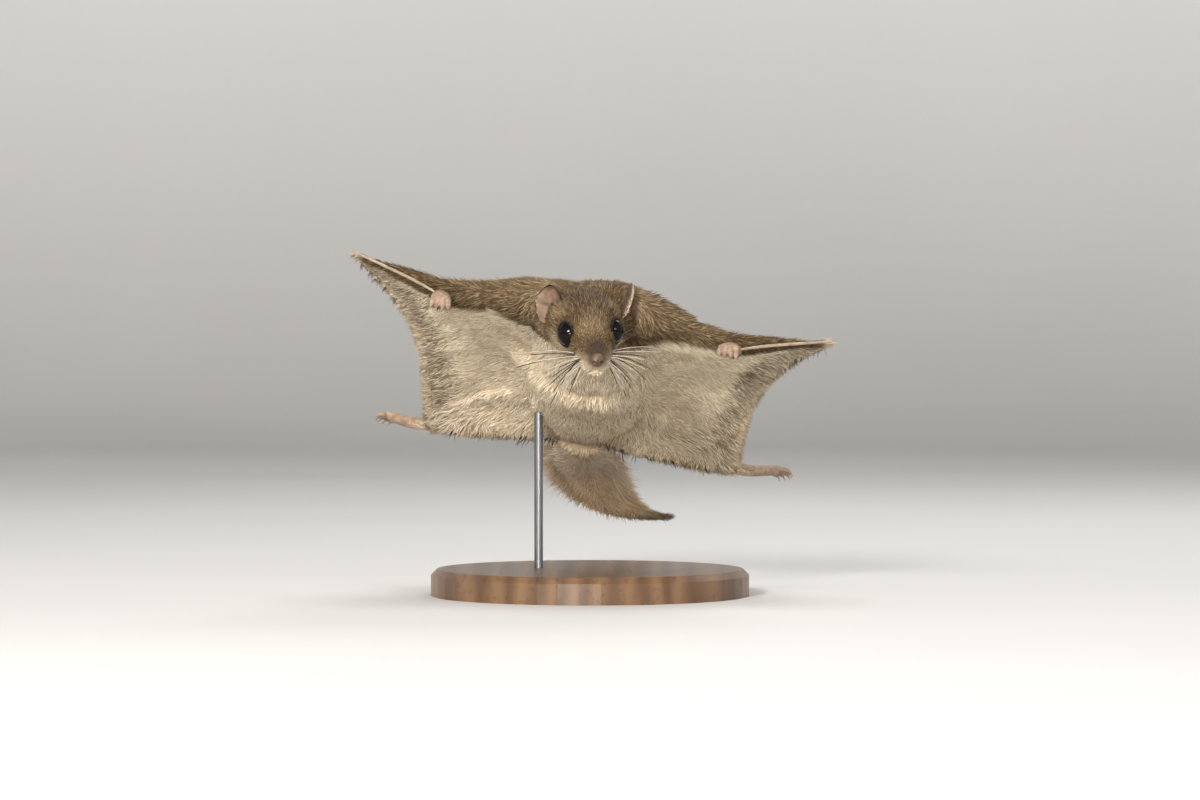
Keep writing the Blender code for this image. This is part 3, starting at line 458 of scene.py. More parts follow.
def coat_fields(world, normal):
    """Markings, a painted shade on the chest, hair length, width, lift, density and lie at points of the
    skin.
    """
    b = wring(move(world, BODY_INV), back=True)
    h = move(world, HEAD_INV)
    nb = turn(normal, BODY_INV)
    ax = b[:, 0]
    side = np.sign(ax)
    flat = np.abs(ax)
    mirrored = b.copy()
    mirrored[:, 0] = flat
    d_out, t_out = distance(mirrored, OUTER_LINE)
    d_rear, _ = distance(mirrored, REAR_LINE)
    d_arm, t_arm = distance(mirrored, ARM_LINE)
    d_leg, t_leg = distance(mirrored, LEG_LINE)
    arm_wide = 9.6 - 8.2 * ramp(t_arm, 0.55, 1.0)
    arm = (1 - ramp(d_arm / arm_wide, 0.8, 1.25)) * ramp(flat, 12, 18)
    leg = (1 - ramp(d_leg / 7.0, 0.7, 1.3)) * ramp(flat, 13, 19)
    radial = np.sqrt((h[:, 0] / 14.5) ** 2 + (h[:, 2] / 12.8) ** 2)
    head = (1 - ramp(radial, 1.0, 1.2)) * (1 - ramp(h[:, 1], 5, 13))
    neck = (1 - ramp(b[:, 1], -14, -2)) * (1 - ramp(flat, 15, 22)) * (1 - head)
    tail = ramp(b[:, 1], 78, 86) * (1 - ramp(flat, 40, 46))
    wing = ramp(flat, 18, 25) * (1 - arm) * (1 - 0.6 * leg) * (1 - tail)
    low = 1 - ramp(nb[:, 2], -0.25, 0.15)

    brown = ramp(nb[:, 2], -0.22, 0.12)
    front_face = ramp(-nb[:, 1], 0.0, 0.30)
    rel = world - np.array([0, -BODY_FORWARD, SHOULDER_HEIGHT])
    front = (1 - ramp(b[:, 1], -2, 6)) * (1 - ramp(flat, 46, 54))
    throat = rel[:, 2] - np.interp(rel[:, 0], THROAT_X, THROAT_Z) + 1.6 * (noise(b, 2.5) - 0.5)
    brown = fade(brown, ramp(throat, -1.2, 0.8), front)
    ridge = b[:, 2] - np.interp(flat, [50, 58, 69, 79], [-8.8, -5.4, -2.3, 0.8])
    tip_front = ramp(ridge, -0.5, 0.2) * (1 - ramp(b[:, 1], -11, -9)) * ramp(flat, 40, 46)
    brown = np.maximum(brown, tip_front)
    face_brown = ramp(h[:, 2] + 0.10 * h[:, 1], -8.6, -6.0)
    brown = fade(brown, face_brown, head)
    d_edge = np.minimum(d_rear, d_out + 60 * (1 - ramp(flat, 40, 50)))
    brown = brown * (1 - 0.85 * (1 - ramp(d_edge, 1.3, 3.6)) * (1 - tail) * (1 - head))
    muzzle = 1 - ramp(h[:, 1], -20, -11)
    muzzle *= head

    streak_at = np.c_[t_out * 98.0, d_out * 0.16, b[:, 2] * 0.05]
    reach = 7.0 + 6.0 * noise(streak_at * np.array([1, 0, 0]), 6.0)
    edge = ramp(flat, 26, 38) * low * (1 - ramp(d_out / reach, 0.55, 1.15)) * ramp(d_out, 0.9, 2.6)
    edge *= (0.34 + 0.42 * noise(streak_at, 1.6) + 0.30 * noise(streak_at, 5.0)) * (1 - tail)
    edge *= (1 - 0.85 * tip_front) * (1 - 0.6 * ramp(t_out, 0.74, 0.90))
    edge = np.maximum(edge, low * leg * 0.10)
    # Painted shade: a grey patch on the chest below the chin stands in for the head's shadow.
    chest = np.linalg.norm((rel - np.array([4.0, -4.0, -19.0])) / np.array([15.0, 14.0, 7.5]), axis=1)
    edge = np.maximum(edge, 0.42 * (1 - ramp(chest, 0.5, 1.2)) * (1 - head))
    rim = (1 - ramp(d_out, 0.6, 2.6)) * ramp(flat, 40, 50) + (1 - ramp(d_rear, 0.8, 3.0)) * (1 - tail)
    rim = np.clip(rim, 0, 1)

    eye_rel = np.c_[np.abs(h[:, 0]), h[:, 1:]] - np.array(EYE)
    eye_ahead = eye_rel @ eye_axis(1)
    eye_rho = np.linalg.norm(eye_rel - eye_ahead[:, None] * eye_axis(1), axis=1)
    eye_rho = np.where(eye_ahead > 0, eye_rho, 9.0)
    eye_gap = np.linalg.norm(eye_rel, axis=1)
    dark = head * (1 - ramp(eye_rho, 4.0, 4.9))
    dark = np.maximum(dark, head * 0.85 * blob(h, (0, -20.2, 1.4), 3.0, 0.5))
    dark = np.maximum(dark, head * 0.35 * blob(h, (0, 1.0, 10.5), 9.0, 0.6))
    vent = ramp(b[:, 1], 73, 79) * (1 - ramp(b[:, 1], 84, 92)) * (1 - ramp(flat, 10, 16)) * low
    dark = np.maximum(dark, 0.34 * vent)
    buff = head * np.maximum(0.35 * blob(h, (8.4, -1.5, 6.2), 3.2), blob(h, (9.0, -8.0, -5.2), 6.6))
    buff = np.maximum(buff, head * 0.25 * blob(h, (0, -13.0, 5.5), 4.5))
    buff = np.maximum(buff, 0.42 * neck * ramp(flat, 7, 13))
    buff = np.maximum(buff, 0.16 * front_face * (1 - ramp(flat, 34, 50)) * (1 - head))
    buff = np.maximum(buff, 0.55 * ramp(b[:, 1], 68, 79) * (1 - ramp(flat, 12, 22)) * low)
    pale = 0.7 * head * blob(h, (3.6, -19.2, -5.6), 4.4, 0.45)

    length = 5.4 * np.ones(len(b)) - 0.9 * low
    length = fade(length, 4.2 - 0.8 * low, wing)
    length = fade(length, 3.4 - 0.9 * ramp(t_arm, 0.55, 1.0), arm)
    length = fade(length, 4.6 - 2.4 * ramp(t_leg, 0.7, 1.0), leg)
    length = fade(length, 2.9 - 1.5 * (1 - ramp(h[:, 1], -19, -4)), head)
    lids = head * (1 - ramp(eye_rho, 4.0, 5.4))
    length = fade(length, 0.8, lids)
    length *= 1 - 0.38 * neck
    near_nose = np.linalg.norm(h - np.array(NOSE), axis=1)
    length *= 0.45 + 0.55 * ramp(near_nose, 2.6, 6.0)
    length *= 1 - 0.4 * ramp(b[:, 1], 70, 80) * (1 - ramp(flat, 12, 22)) * low
    half = 0.055 + 0.019 * length
    lift = 15.0 - 2.0 * wing - 2.0 * muzzle - 7.0 * neck
    density = 1.95 / (length * half * 1.2)
    density *= ramp(eye_rho, 3.7, 4.0) * head + 1 - head
    density *= ramp(near_nose, 2.2, 2.7)
    density *= 1 - 0.75 * tail

    flow = np.zeros_like(b)
    flow[:, 0] = side * (0.25 * ramp(flat, 3, 18))
    flow[:, 1] = 1.0
    out = np.c_[side * (0.55 + 0.75 * low), 0.9 - 0.5 * low, np.zeros(len(b))]
    flow = fade(flow, out, wing)
    on_arm = np.c_[side * 1.0, 0.55 * np.ones(len(b)), 0.25 * front_face]
    flow = fade(flow, on_arm, arm)
    on_leg = np.c_[side * 0.9, 0.8 * np.ones(len(b)), np.zeros(len(b))]
    flow = fade(flow, on_leg, leg)
    rear_pull = (1 - ramp(d_rear, 2, 9)) * (1 - ramp(flat, 44, 50))
    flow = fade(flow, np.c_[side * 0.12, np.ones(len(b)), np.zeros(len(b))], rear_pull)
    flow = turn(flow, BODY)
    away = h - np.c_[np.sign(h[:, 0]) * EYE[0], np.full(len(h), EYE[1]), np.full(len(h), EYE[2])]
    away = unit(away) * (1 - ramp(eye_gap, 5.0, 8.5))[:, None]
    face = np.c_[h[:, 0] * 0.05, np.ones(len(h)), 0.05 * np.ones(len(h))] + 0.9 * away
    face[:, 2] -= 0.35 * (1 - ramp(h[:, 2], -6, -1))
    face = turn(face, HEAD)
    spread = np.c_[side * 0.55 * ramp(flat, 2, 9), 0.9 * np.ones(len(b)), -0.25 * np.ones(len(b))]
    flow = fade(flow, turn(spread, BODY), neck)
    flow = fade(flow, face, head)
    sway = (noise(b + 70, 6.5) - 0.5) * 1.5 + (noise(b + 30, 2.6) - 0.5) * 0.8
    sway *= (1 - head) * (0.35 + 0.65 * (1 - brown)) * (1 - 0.6 * edge)
    flow = flow + np.cross(normal, flow) * sway[:, None]
    flow = flow - normal * np.sum(flow * normal, axis=1, keepdims=True)
    flow = unit(flow)
    lift = lift + (16.0 - 9.0 * brown) * (noise(b + 11, 3.4) - 0.5) * (1 - head)
    return {"brown": brown, "edge": edge, "rim": rim, "dark": dark, "buff": buff, "pale": pale,
            "tail": tail, "head": head, "length": length, "half": half, "lift": lift,
            "density": density, "flow": flow}


# The edge mark holds the grey band and also the painted shade on the chest.
MARKS = ("brown", "edge", "rim", "dark", "buff", "pale", "tail")


def swell(co, normal):
    """Folds of the loose belly skin: a crease behind the chest and soft mounds."""
    b = wring(move(co, BODY_INV), back=True)
    nb = turn(normal, BODY_INV)
    low = 1 - ramp(nb[:, 2], -0.5, -0.1)
    flat = np.abs(b[:, 0])
    span = ramp(b[:, 1], -2, 8) * (1 - ramp(b[:, 1], 74, 84)) * (1 - ramp(flat, 48, 62))
    at = b[:, 1] - (34.0 - 0.020 * b[:, 0] ** 2)
    wide = 1 - ramp(flat, 14, 26)
    fold = -0.75 * np.exp(-(at / 1.5) ** 2) + 0.4 * np.exp(-((at + 6.0) / 4.0) ** 2)
    place = np.c_[b[:, :2], np.zeros(len(b))]
    mound = 2.8 * (noise(place + 5, 11.0) - 0.5) + 1.1 * (noise(place + 90, 5.0) - 0.5)
    mound *= 1 - 0.55 * ramp(b[:, 1], 34, 58)
    loose = ramp(flat, 16, 26)
    swollen = 2.0 * np.exp(-((at - 8.5) / 9.0) ** 2) * ramp(at, -1, 5) * (1 - ramp(flat, 20, 42))
    b = b + nb * (low * span * (fold * wide + swollen + 0.4 * mound * (1 - loose)))[:, None]
    b[:, 2] -= mound * span * loose
    return to_world(b)


def unwrap(world, normal):
    """Places on a flat layout of the skin: back, belly, head and tail each have their part."""
    b = wring(move(world, BODY_INV), back=True)
    h = move(world, HEAD_INV)
    nb = turn(normal, BODY_INV)
    uv = np.empty((len(b), 2))
    x = np.clip((b[:, 0] + 84) / 168, 0, 1)
    y = np.clip((b[:, 1] + 26) / 122, 0, 1)
    uv[:, 0] = 0.01 + 0.47 * x + 0.5 * (nb[:, 2] < 0)
    uv[:, 1] = 0.34 + 0.65 * y
    radial = np.sqrt((h[:, 0] / 14.5) ** 2 + (h[:, 2] / 12.8) ** 2)
    on_head = (radial < 1.2) & (h[:, 1] < 9) & (h[:, 1] > -30)
    angle = np.arctan2(h[:, 0], -h[:, 2]) / (2 * np.pi) + 0.5
    uv[on_head, 0] = 0.01 + 0.47 * angle[on_head]
    uv[on_head, 1] = 0.01 + 0.30 * np.clip((h[on_head, 1] + 26) / 36, 0, 1)
    on_tail = (b[:, 1] > 84) & (np.abs(b[:, 0]) < 44)
    uv[on_tail, 0] = 0.51 + 0.47 * np.clip((b[on_tail, 1] - 80) / 96, 0, 1)
    uv[on_tail, 1] = (0.01 + 0.145 * np.clip((b[on_tail, 0] + 18) / 60, 0, 1)
                      + 0.155 * (nb[on_tail, 2] < 0))
    return uv


# Tufts

def tufts(root, normal, flow, length, half, lift, droop=10.0, rings=2, wave=0.12):
    """Solid three-sided tufts that taper to a point and bend down along their lie."""
    n = len(root)
    flow = unit(flow - normal * np.sum(flow * normal, axis=1, keepdims=True))
    across = np.cross(normal, flow)
    swing = RNG.normal(0, 0.13, n)[:, None]
    flow = unit(flow + across * swing)
    across = np.cross(normal, flow)
    levels = {2: (0.0, 0.52, 1.0), 3: (0.0, 0.36, 0.72, 1.0)}[rings]
    shape = {2: (0.72, 0.9), 3: (0.7, 1.0, 0.72)}[rings]
    bend = RNG.normal(0, wave, n)[:, None]
    start = np.radians(lift)[:, None]
    stop = np.radians(lift - droop)[:, None]
    p = root - normal * 0.25
    verts, normals, along_t = [], [], []
    last = 0.0
    for k, t in enumerate(levels):
        mid = (t + last) / 2
        angle = start + (stop - start) * mid
        ahead = unit(flow * np.cos(angle) + normal * np.sin(angle) + across * bend * mid * 2)
        p = p + ahead * (length[:, None] * (t - last) + (0.25 if k == 1 else 0))
        last = t
        rise = unit(np.cross(ahead, across))
        rise *= np.sign(np.sum(rise * normal, axis=1, keepdims=True))
        if k == rings:
            verts.append(p)
            normals.append(unit(normal + ahead * 0.3))
            along_t.append(np.full(n, 1.0))
            break
        r = (half * shape[k])[:, None]
        for lateral, up in ((1.0, 0.0), (-1.0, 0.0), (0.0, 0.62)):
            verts.append(p + across * r * lateral + rise * r * up)
            normals.append(unit(normal * 0.85 + across * lateral * 0.55 + rise * up * 0.3))
            along_t.append(np.full(n, t))
    count = 3 * rings + 1
    verts = np.stack(verts, axis=1)
    normals = np.stack(normals, axis=1)
    along_t = np.stack(along_t, axis=1)
    faces = [(0, 1, 2)]
    for k in range(rings - 1):
        for i, j in ((0, 1), (1, 2), (2, 0)):
            a, b = 3 * k + i, 3 * k + j
            faces += [(a, b + 3, b), (a, a + 3, b + 3)]
    top, tip = 3 * (rings - 1), 3 * rings
    faces += [(top, tip, top + 1), (top + 1, tip, top + 2), (top + 2, tip, top)]
    faces = np.array(faces)[None] + (np.arange(n) * count)[:, None, None]
    return verts, normals, along_t, faces.reshape(-1, 3), count


def coat_piece(name, data, marks, uv, slot, soft=True):
    verts, normals, along_t, faces, count = data
    n = len(verts)
    values = {key: np.repeat(marks[key], count) for key in MARKS}
    values["tint"] = np.repeat(RNG.random(n), count)
    values["along"] = along_t.ravel()
    patch = np.repeat(uv[:, None], count, axis=1)
    patch[:, :, 0] += (along_t - 0.5) * 0.003
    patch[:, :, 1] += np.resize([-0.0012, 0.0012, 0.0], count)[None]
    obj = make(name, verts.reshape(-1, 3), faces, slot, values=values,
               uv=np.clip(patch.reshape(-1, 2), 0.001, 0.999))
    if soft:
        obj.data.normals_split_custom_set_from_vertices(normals.reshape(-1, 3))
    return obj


def scatter(co, tri, normal, fields, share=1.0):
    """Even random roots on the skin with the fields carried to them."""
    a, b, c = co[tri[:, 0]], co[tri[:, 1]], co[tri[:, 2]]
    area = 0.5 * np.linalg.norm(np.cross(b - a, c - a), axis=1)
    weight = area * fields["density"][tri].mean(axis=1) * share
    total = weight.cumsum()
    n = int(total[-1])
    pick = np.searchsorted(total, (np.arange(n) + RNG.random(n)) * total[-1] / n)
    pick = np.minimum(pick, len(tri) - 1)
    r1, r2 = np.sqrt(RNG.random(n)), RNG.random(n)
    w = np.c_[1 - r1, r1 * (1 - r2), r1 * r2]
    corner = tri[pick]

    def carry(values):
        if values.ndim == 1:
            return np.sum(values[corner] * w, axis=1)
        return np.sum(values[corner] * w[..., None], axis=1)
    out = {key: carry(value) for key, value in fields.items()}
    return carry(co), unit(carry(normal)), out


# Materials

def tree(name, colour=(0.5, 0.5, 0.5), rough=0.6, metallic=0.0, specular=0.5):
    mat = bpy.data.materials.new(name)
    mat.use_nodes = True
    shader = mat.node_tree.nodes["Principled BSDF"]
    shader.inputs["Base Color"].default_value = (*colour, 1)
    shader.inputs["Roughness"].default_value = rough
    shader.inputs["Metallic"].default_value = metallic
    shader.inputs["Specular IOR Level"].default_value = specular
    return mat, mat.node_tree, shader


class Nodes:
    """Short names for the node kinds used below."""

    def __init__(self, nt):
        self.nt = nt

    def attr(self, name):
        node = self.nt.nodes.new("ShaderNodeAttribute")
        node.attribute_name = name
        return node.outputs["Fac"]

    def coords(self):
        return self.nt.nodes.new("ShaderNodeTexCoord").outputs["Object"]

    def noise(self, scale, detail=3.0, rough=0.55, stretch=None):
        node = self.nt.nodes.new("ShaderNodeTexNoise")
        node.inputs["Scale"].default_value = scale
        node.inputs["Detail"].default_value = detail
        node.inputs["Roughness"].default_value = rough
        source = self.coords()
        if stretch:
            mapping = self.nt.nodes.new("ShaderNodeMapping")
            mapping.inputs["Scale"].default_value = stretch
            self.nt.links.new(source, mapping.inputs["Vector"])
            source = mapping.outputs["Vector"]
        self.nt.links.new(source, node.inputs["Vector"])
        return node.outputs["Fac"]

    def ramp(self, source, stops):
        node = self.nt.nodes.new("ShaderNodeValToRGB")
        ramp_ = node.color_ramp
        while len(ramp_.elements) < len(stops):
            ramp_.elements.new(0.5)
        for element, (place, colour) in zip(ramp_.elements, stops):
            element.position = place
            element.color = (*colour, 1)
        self.nt.links.new(source, node.inputs["Fac"])
        return node.outputs["Color"]

    def mix(self, factor, a, b, mode="MIX"):
        node = self.nt.nodes.new("ShaderNodeMix")
        node.data_type = "RGBA"
        node.blend_type = mode
        for value, socket in ((factor, node.inputs[0]), (a, node.inputs[6]), (b, node.inputs[7])):
            if hasattr(value, "is_linked"):
                self.nt.links.new(value, socket)
            elif isinstance(value, tuple):
                socket.default_value = (*value, 1)
            else:
                socket.default_value = value
        return node.outputs[2]

    def math(self, op, a, b):
        node = self.nt.nodes.new("ShaderNodeMath")
        node.operation = op
        for value, socket in zip((a, b), node.inputs):
            if hasattr(value, "is_linked"):
                self.nt.links.new(value, socket)
            else:
                socket.default_value = value
        return node.outputs[0]

    def bump(self, height, shader, strength, distance_mm):
        node = self.nt.nodes.new("ShaderNodeBump")
        node.inputs["Strength"].default_value = strength
        node.inputs["Distance"].default_value = distance_mm * MM
        self.nt.links.new(height, node.inputs["Height"])
        self.nt.links.new(node.outputs["Normal"], shader.inputs["Normal"])


def fur_material(name, hair):
    """Grizzled brown back, cream belly, grey band inside a buff rim, dark and buff face marks; the band's
    grey also paints the shade on the chest below the head, and the dark colour paints the shade inside the
    left ear.
    """
    mat, nt, shader = tree(name, rough=0.76, specular=0.14)
    k = Nodes(nt)
    tint = k.attr("tint") if hair else k.noise(900.0, 4.0)
    t = k.attr("along") if hair else k.noise(500.0, 2.0)
    patch = k.noise(210.0, 4.0, 0.6)
    speckle = k.math("ADD", k.math("MULTIPLY", tint, 0.72), k.math("MULTIPLY", patch, 0.42))
    brown_tip = k.ramp(speckle, [(0.22, (0.018, 0.011, 0.005)), (0.38, (0.052, 0.031, 0.013)),
                                 (0.62, (0.108, 0.067, 0.029)), (0.90, (0.255, 0.176, 0.088))])
    brown = k.mix(k.ramp(t, [(0.10, (0, 0, 0)), (0.62, (1, 1, 1))]), (0.040, 0.028, 0.018), brown_tip)
    cream_tip = k.ramp(speckle, [(0.22, (0.56, 0.450, 0.300)), (0.55, (0.75, 0.630, 0.450)),
                                 (0.85, (0.88, 0.785, 0.615))])
    cream = k.mix(k.ramp(t, [(0.0, (0, 0, 0)), (0.5, (1, 1, 1))]), (0.42, 0.335, 0.235), cream_tip)
    colour = k.mix(k.attr("brown"), cream, brown)
    tawny = k.ramp(speckle, [(0.20, (0.340, 0.230, 0.125)), (0.42, (0.570, 0.400, 0.225)),
                             (0.68, (0.720, 0.535, 0.320)), (0.92, (0.850, 0.670, 0.450))])
    colour = k.mix(k.attr("tail"), colour, tawny)
    streak = k.noise(330.0, 3.0, 0.6, (0.35, 1.6, 1.6))
    band = k.ramp(k.math("ADD", k.math("MULTIPLY", tint, 0.5), k.math("MULTIPLY", streak, 0.6)),
                  [(0.30, (0.095, 0.071, 0.048)), (0.55, (0.190, 0.146, 0.100)),
                   (0.82, (0.34, 0.27, 0.185))])
    # Edge mark: the grey band near the membrane edges, and also painted shade on the chest below the head.
    colour = k.mix(k.attr("edge"), colour, band)
    rim = k.ramp(tint, [(0.0, (0.30, 0.215, 0.125)), (1.0, (0.58, 0.46, 0.31))])
    colour = k.mix(k.math("MULTIPLY", k.attr("rim"), 0.62), colour, rim)
    buff = k.ramp(tint, [(0.0, (0.24, 0.170, 0.095)), (0.6, (0.42, 0.318, 0.195)),
                         (1.0, (0.56, 0.45, 0.30))])
    colour = k.mix(k.math("MULTIPLY", k.attr("buff"), 0.85), colour, buff)
    pale = k.ramp(tint, [(0.0, (0.50, 0.390, 0.280)), (1.0, (0.80, 0.680, 0.53))])
    colour = k.mix(k.attr("pale"), colour, pale)
    # The dark colour also paints the shade inside the left ear.
    dark = k.ramp(tint, [(0.0, (0.018, 0.013, 0.010)), (1.0, (0.085, 0.060, 0.042))])
    colour = k.mix(k.attr("dark"), colour, dark)
    if not hair:
        colour = k.mix(1.0, colour, (0.62, 0.58, 0.55), "MULTIPLY")
        k.bump(k.noise(1400.0, 3.0, 0.6, (1.0, 0.35, 1.0)), shader, 0.6, 0.25)
    nt.links.new(colour, shader.inputs["Base Color"])
    return mat


def flesh_material(name, dark, light, rough=0.5, rim_and_shade=None):
    mat, nt, shader = tree(name, rough=rough, specular=0.4)
    k = Nodes(nt)
    blotch = k.noise(520.0, 5.0, 0.6)
    colour = k.ramp(blotch, [(0.30, dark), (0.70, light)])
    # Darker where this attribute is set: on the ears a dark rim and painted shade.
    if rim_and_shade:
        colour = k.mix(k.math("MULTIPLY", k.attr(rim_and_shade), 0.85), colour, (0.035, 0.022, 0.016))
    nt.links.new(colour, shader.inputs["Base Color"])
    shader.inputs["Subsurface Weight"].default_value = 0.12
    shader.inputs["Subsurface Radius"].default_value = (0.0012, 0.0005, 0.0003)
    k.bump(k.noise(2600.0, 3.0, 0.6), shader, 0.5, 0.12)
    return mat


# Skin

def eye_axis(side):
    out, up = math.radians(EYE_OUT), math.radians(EYE_UP)
    return np.array([side * math.sin(out) * math.cos(up), -math.cos(out) * math.cos(up),
                     math.sin(up)])


def build_skin():
    shoulder = np.array([0, -BODY_FORWARD, SHOULDER_HEIGHT])
    parts = []

    def add(shape, place):
        parts.append((place(shape[0]), shape[1]))

    torso = TORSO_ROWS.copy()
    even = 0.7 * (1 - ramp(torso[:, 1], 60, 80)) * ramp(torso[:, 1], 0, 12)
    torso[:, 5] = torso[:, 5] * 0.86 * (1 - even) + 10.6 * even
    add(loft(torso, 48, 2.3, less=2.4), to_world)
    add(loft(NECK_ROWS, 48, 2.3, less=2.2), lambda p: p + shoulder)
    add(loft(HEAD_ROWS, 48, 2.15, less=0.75), lambda p: move(p, HEAD))
    for x in (-2.3, 2.3):
        add(ellipsoid((x, -19.6, -4.4), (2.5, 2.5, 2.3), 16, 20), lambda p: move(p, HEAD))
    add(ellipsoid((0, -17.8, -6.6), (2.9, 3.2, 1.9), 16, 20), lambda p: move(p, HEAD))
    ruff = smooth_rows([(1.4, -2, 2.4, 20, 12.4, 11), (1.2, -11, 1.8, 18.5, 12, 11),
                        (0.8, -18, 0.4, 15.5, 9.6, 10), (-0.4, -25, -1.4, 11.6, 7.4, 8.8)], 6)
    add(loft(ruff, 40, 2.3, less=1.6),
        lambda p: p + shoulder + np.c_[np.zeros((len(p), 2)), 0.03 * p[:, 0]])
    for side in (-1, 1):
        add(loft(arm_rows(side), 28, less=1.1), to_world)
        lifted = 0.3 if side > 0 else -2.6
        blend = [(5, -12, 0.4 + lifted, 10.5, 8.6, 9), (13, -12.5, -0.4 + lifted, 10.5, 8.6, 8.4),
                 (22, -12, -1.8 + 0.8 * lifted, 9.4, 7.6, 6.8), (32, -10.5, -3.2 + 0.4 * lifted, 7.8, 6, 4.6)]
        add(loft(sided(smooth_rows(blend, 6), side), 28, less=1.1), to_world)
        add(loft(leg_rows(side) * np.array([1, 1, 1, 1, 1, 0.36]), 28, less=0.9), to_world)
        add(sheet(wing_patch(side), 70, 60, lambda u, v: 1.5 - 0.5 * u
                  + 9.5 * (1 - ramp(u, 0.05, 0.50)) * np.sin(np.pi * v) ** 0.5), to_world)
        add(sheet(rear_patch(side), 50, 20, lambda u, v: 1.6 - 0.5 * v), to_world)
    add(loft(tail_core(tail_path(TAIL_STEPS)), 28, less=0.9), to_world)
    points, faces = merge(parts)
    names = ["torso", "neck", "head", "tail_root", "tail_brush"]
    for word in ("left", "right"):
        names += [part + "_" + word for part in ("upper_arm", "forearm", "wing_tip", "thigh",
                                                 "shin", "patagium", "rear_membrane")]
    skin = make("skin", points, faces, "fur_belly", names)
    remesh = skin.modifiers.new("remesh", "REMESH")
    remesh.mode = "VOXEL"
    remesh.voxel_size = VOXEL * MM
    remesh.use_smooth_shade = True
    apply_all(skin)
    relax(skin, 22, 0.5)

    co, tri, normal = arrays(skin)
    co = swell(co, normal)
    h = move(co, HEAD_INV)
    for side in (-1, 1):
        centre, axis = np.array([side * EYE[0], EYE[1], EYE[2]]), eye_axis(side)
        rel = h - centre
        ahead = rel @ axis
        rho = np.linalg.norm(rel - ahead[:, None] * axis, axis=1)
        ball = np.sqrt(np.maximum(EYE_RADIUS ** 2 - rho ** 2, 0))
        push = np.where((rho < 3.9) & (ahead > 0), np.minimum(ball - 0.6 - ahead, 0), 0)
        push *= 1 - ramp(rho, 3.55, 3.9)
        brow = np.maximum(ball + 0.25 - ahead, 0) * ramp(rho, 3.7, 3.95) * (1 - ramp(rho, 4.4, 6.2))
        push += np.where(ahead > 0.2, brow, 0)
        h += push[:, None] * axis
    groove = (1 - ramp(np.abs(h[:, 2] + 6.4 + 0.14 * (h[:, 1] + 20)), 0.1, 0.75))
    groove *= (h[:, 1] < -13) * (1 - ramp(h[:, 1], -17, -13)) * (np.abs(h[:, 0]) < 6.0)
    h[:, 0] *= 1 - 0.14 * groove
    h[:, 1] += 0.75 * groove
    moved = move(h, HEAD)
    near = np.linalg.norm(h - np.array([0, -12, 0]), axis=1) < 18
    co[near] = moved[near]
    skin.data.vertices.foreach_set("co", (co * MM).ravel())
    skin.data.update()
    return skin


def paint(obj, fields, uv):
    mesh = obj.data
    for key in MARKS:
        attr = mesh.attributes.new(key, "FLOAT", "POINT")
        attr.data.foreach_set("value", fields[key].astype(np.float32))
    layer = mesh.uv_layers.new(name="OFBake")
    loops = np.empty(len(mesh.loops), np.int32)
    mesh.loops.foreach_get("vertex_index", loops)
    layer.data.foreach_set("uv", np.clip(uv[loops], 0, 1).astype(np.float32).ravel())


# Coat

def build_coat(co, tri, normal, fields):
    thin = 1.0
    root, up, f = scatter(co, tri, normal, fields, thin)
    b = wring(move(root, BODY_INV), back=True)
    nb = turn(up, BODY_INV)
    n = len(root)
    length = f["length"] * (0.72 + 0.5 * RNG.random(n))
    half = f["half"] * (0.8 + 0.4 * RNG.random(n)) * 1.0
    lift = np.maximum(f["lift"] + RNG.normal(0, 5.0, n), 4.0)
    uv = unwrap(root, up)
    head = f["head"] > 0.5
    tail = f["tail"] > 0.5
    inner = (np.abs(b[:, 0]) < 22) & ~head & ~tail
    below = nb[:, 2] < 0
    groups = {
        "coat_head_left": (head & (b[:, 0] >= 0), "fur_head"),
        "coat_head_right": (head & (b[:, 0] < 0), "fur_head"),
        "coat_back": (inner & ~below, "fur_back"),
        "coat_belly": (inner & below, "fur_belly"),
        "coat_tail_down": (tail, "fur_tail"),
    }
    for word, sign in (("left", 1), ("right", -1)):
        outer = ~head & ~tail & ~inner & (np.sign(b[:, 0]) == sign)
        groups["coat_upper_" + word] = (outer & ~below, "fur_back")
        fore = b[:, 1] < 28
        groups["coat_under_front_" + word] = (outer & below & fore, "fur_belly")
        groups["coat_under_rear_" + word] = (outer & below & ~fore, "fur_belly")
    made = []
    for name, (mask, slot) in groups.items():
        index = np.flatnonzero(mask)
        for part in range(0, len(index), PIECE_TUFTS):
            i = index[part:part + PIECE_TUFTS]
            data = tufts(root[i], up[i], f["flow"][i], length[i], half[i], lift[i])
            marks = {key: f[key][i] for key in MARKS}
            # Tufts take the edge mark's grey: the band near the membrane edges and the painted shade on the
            # chest.
            grey = RNG.random(len(i)) < 0.80 * marks["edge"]
            marks["edge"] = np.where(grey, 0.9, 0.22 * marks["edge"])
            label = name if part == 0 else f"{name}_{part // PIECE_TUFTS + 1}"
            made.append(coat_piece(label, data, marks, uv[i], slot))
    return made


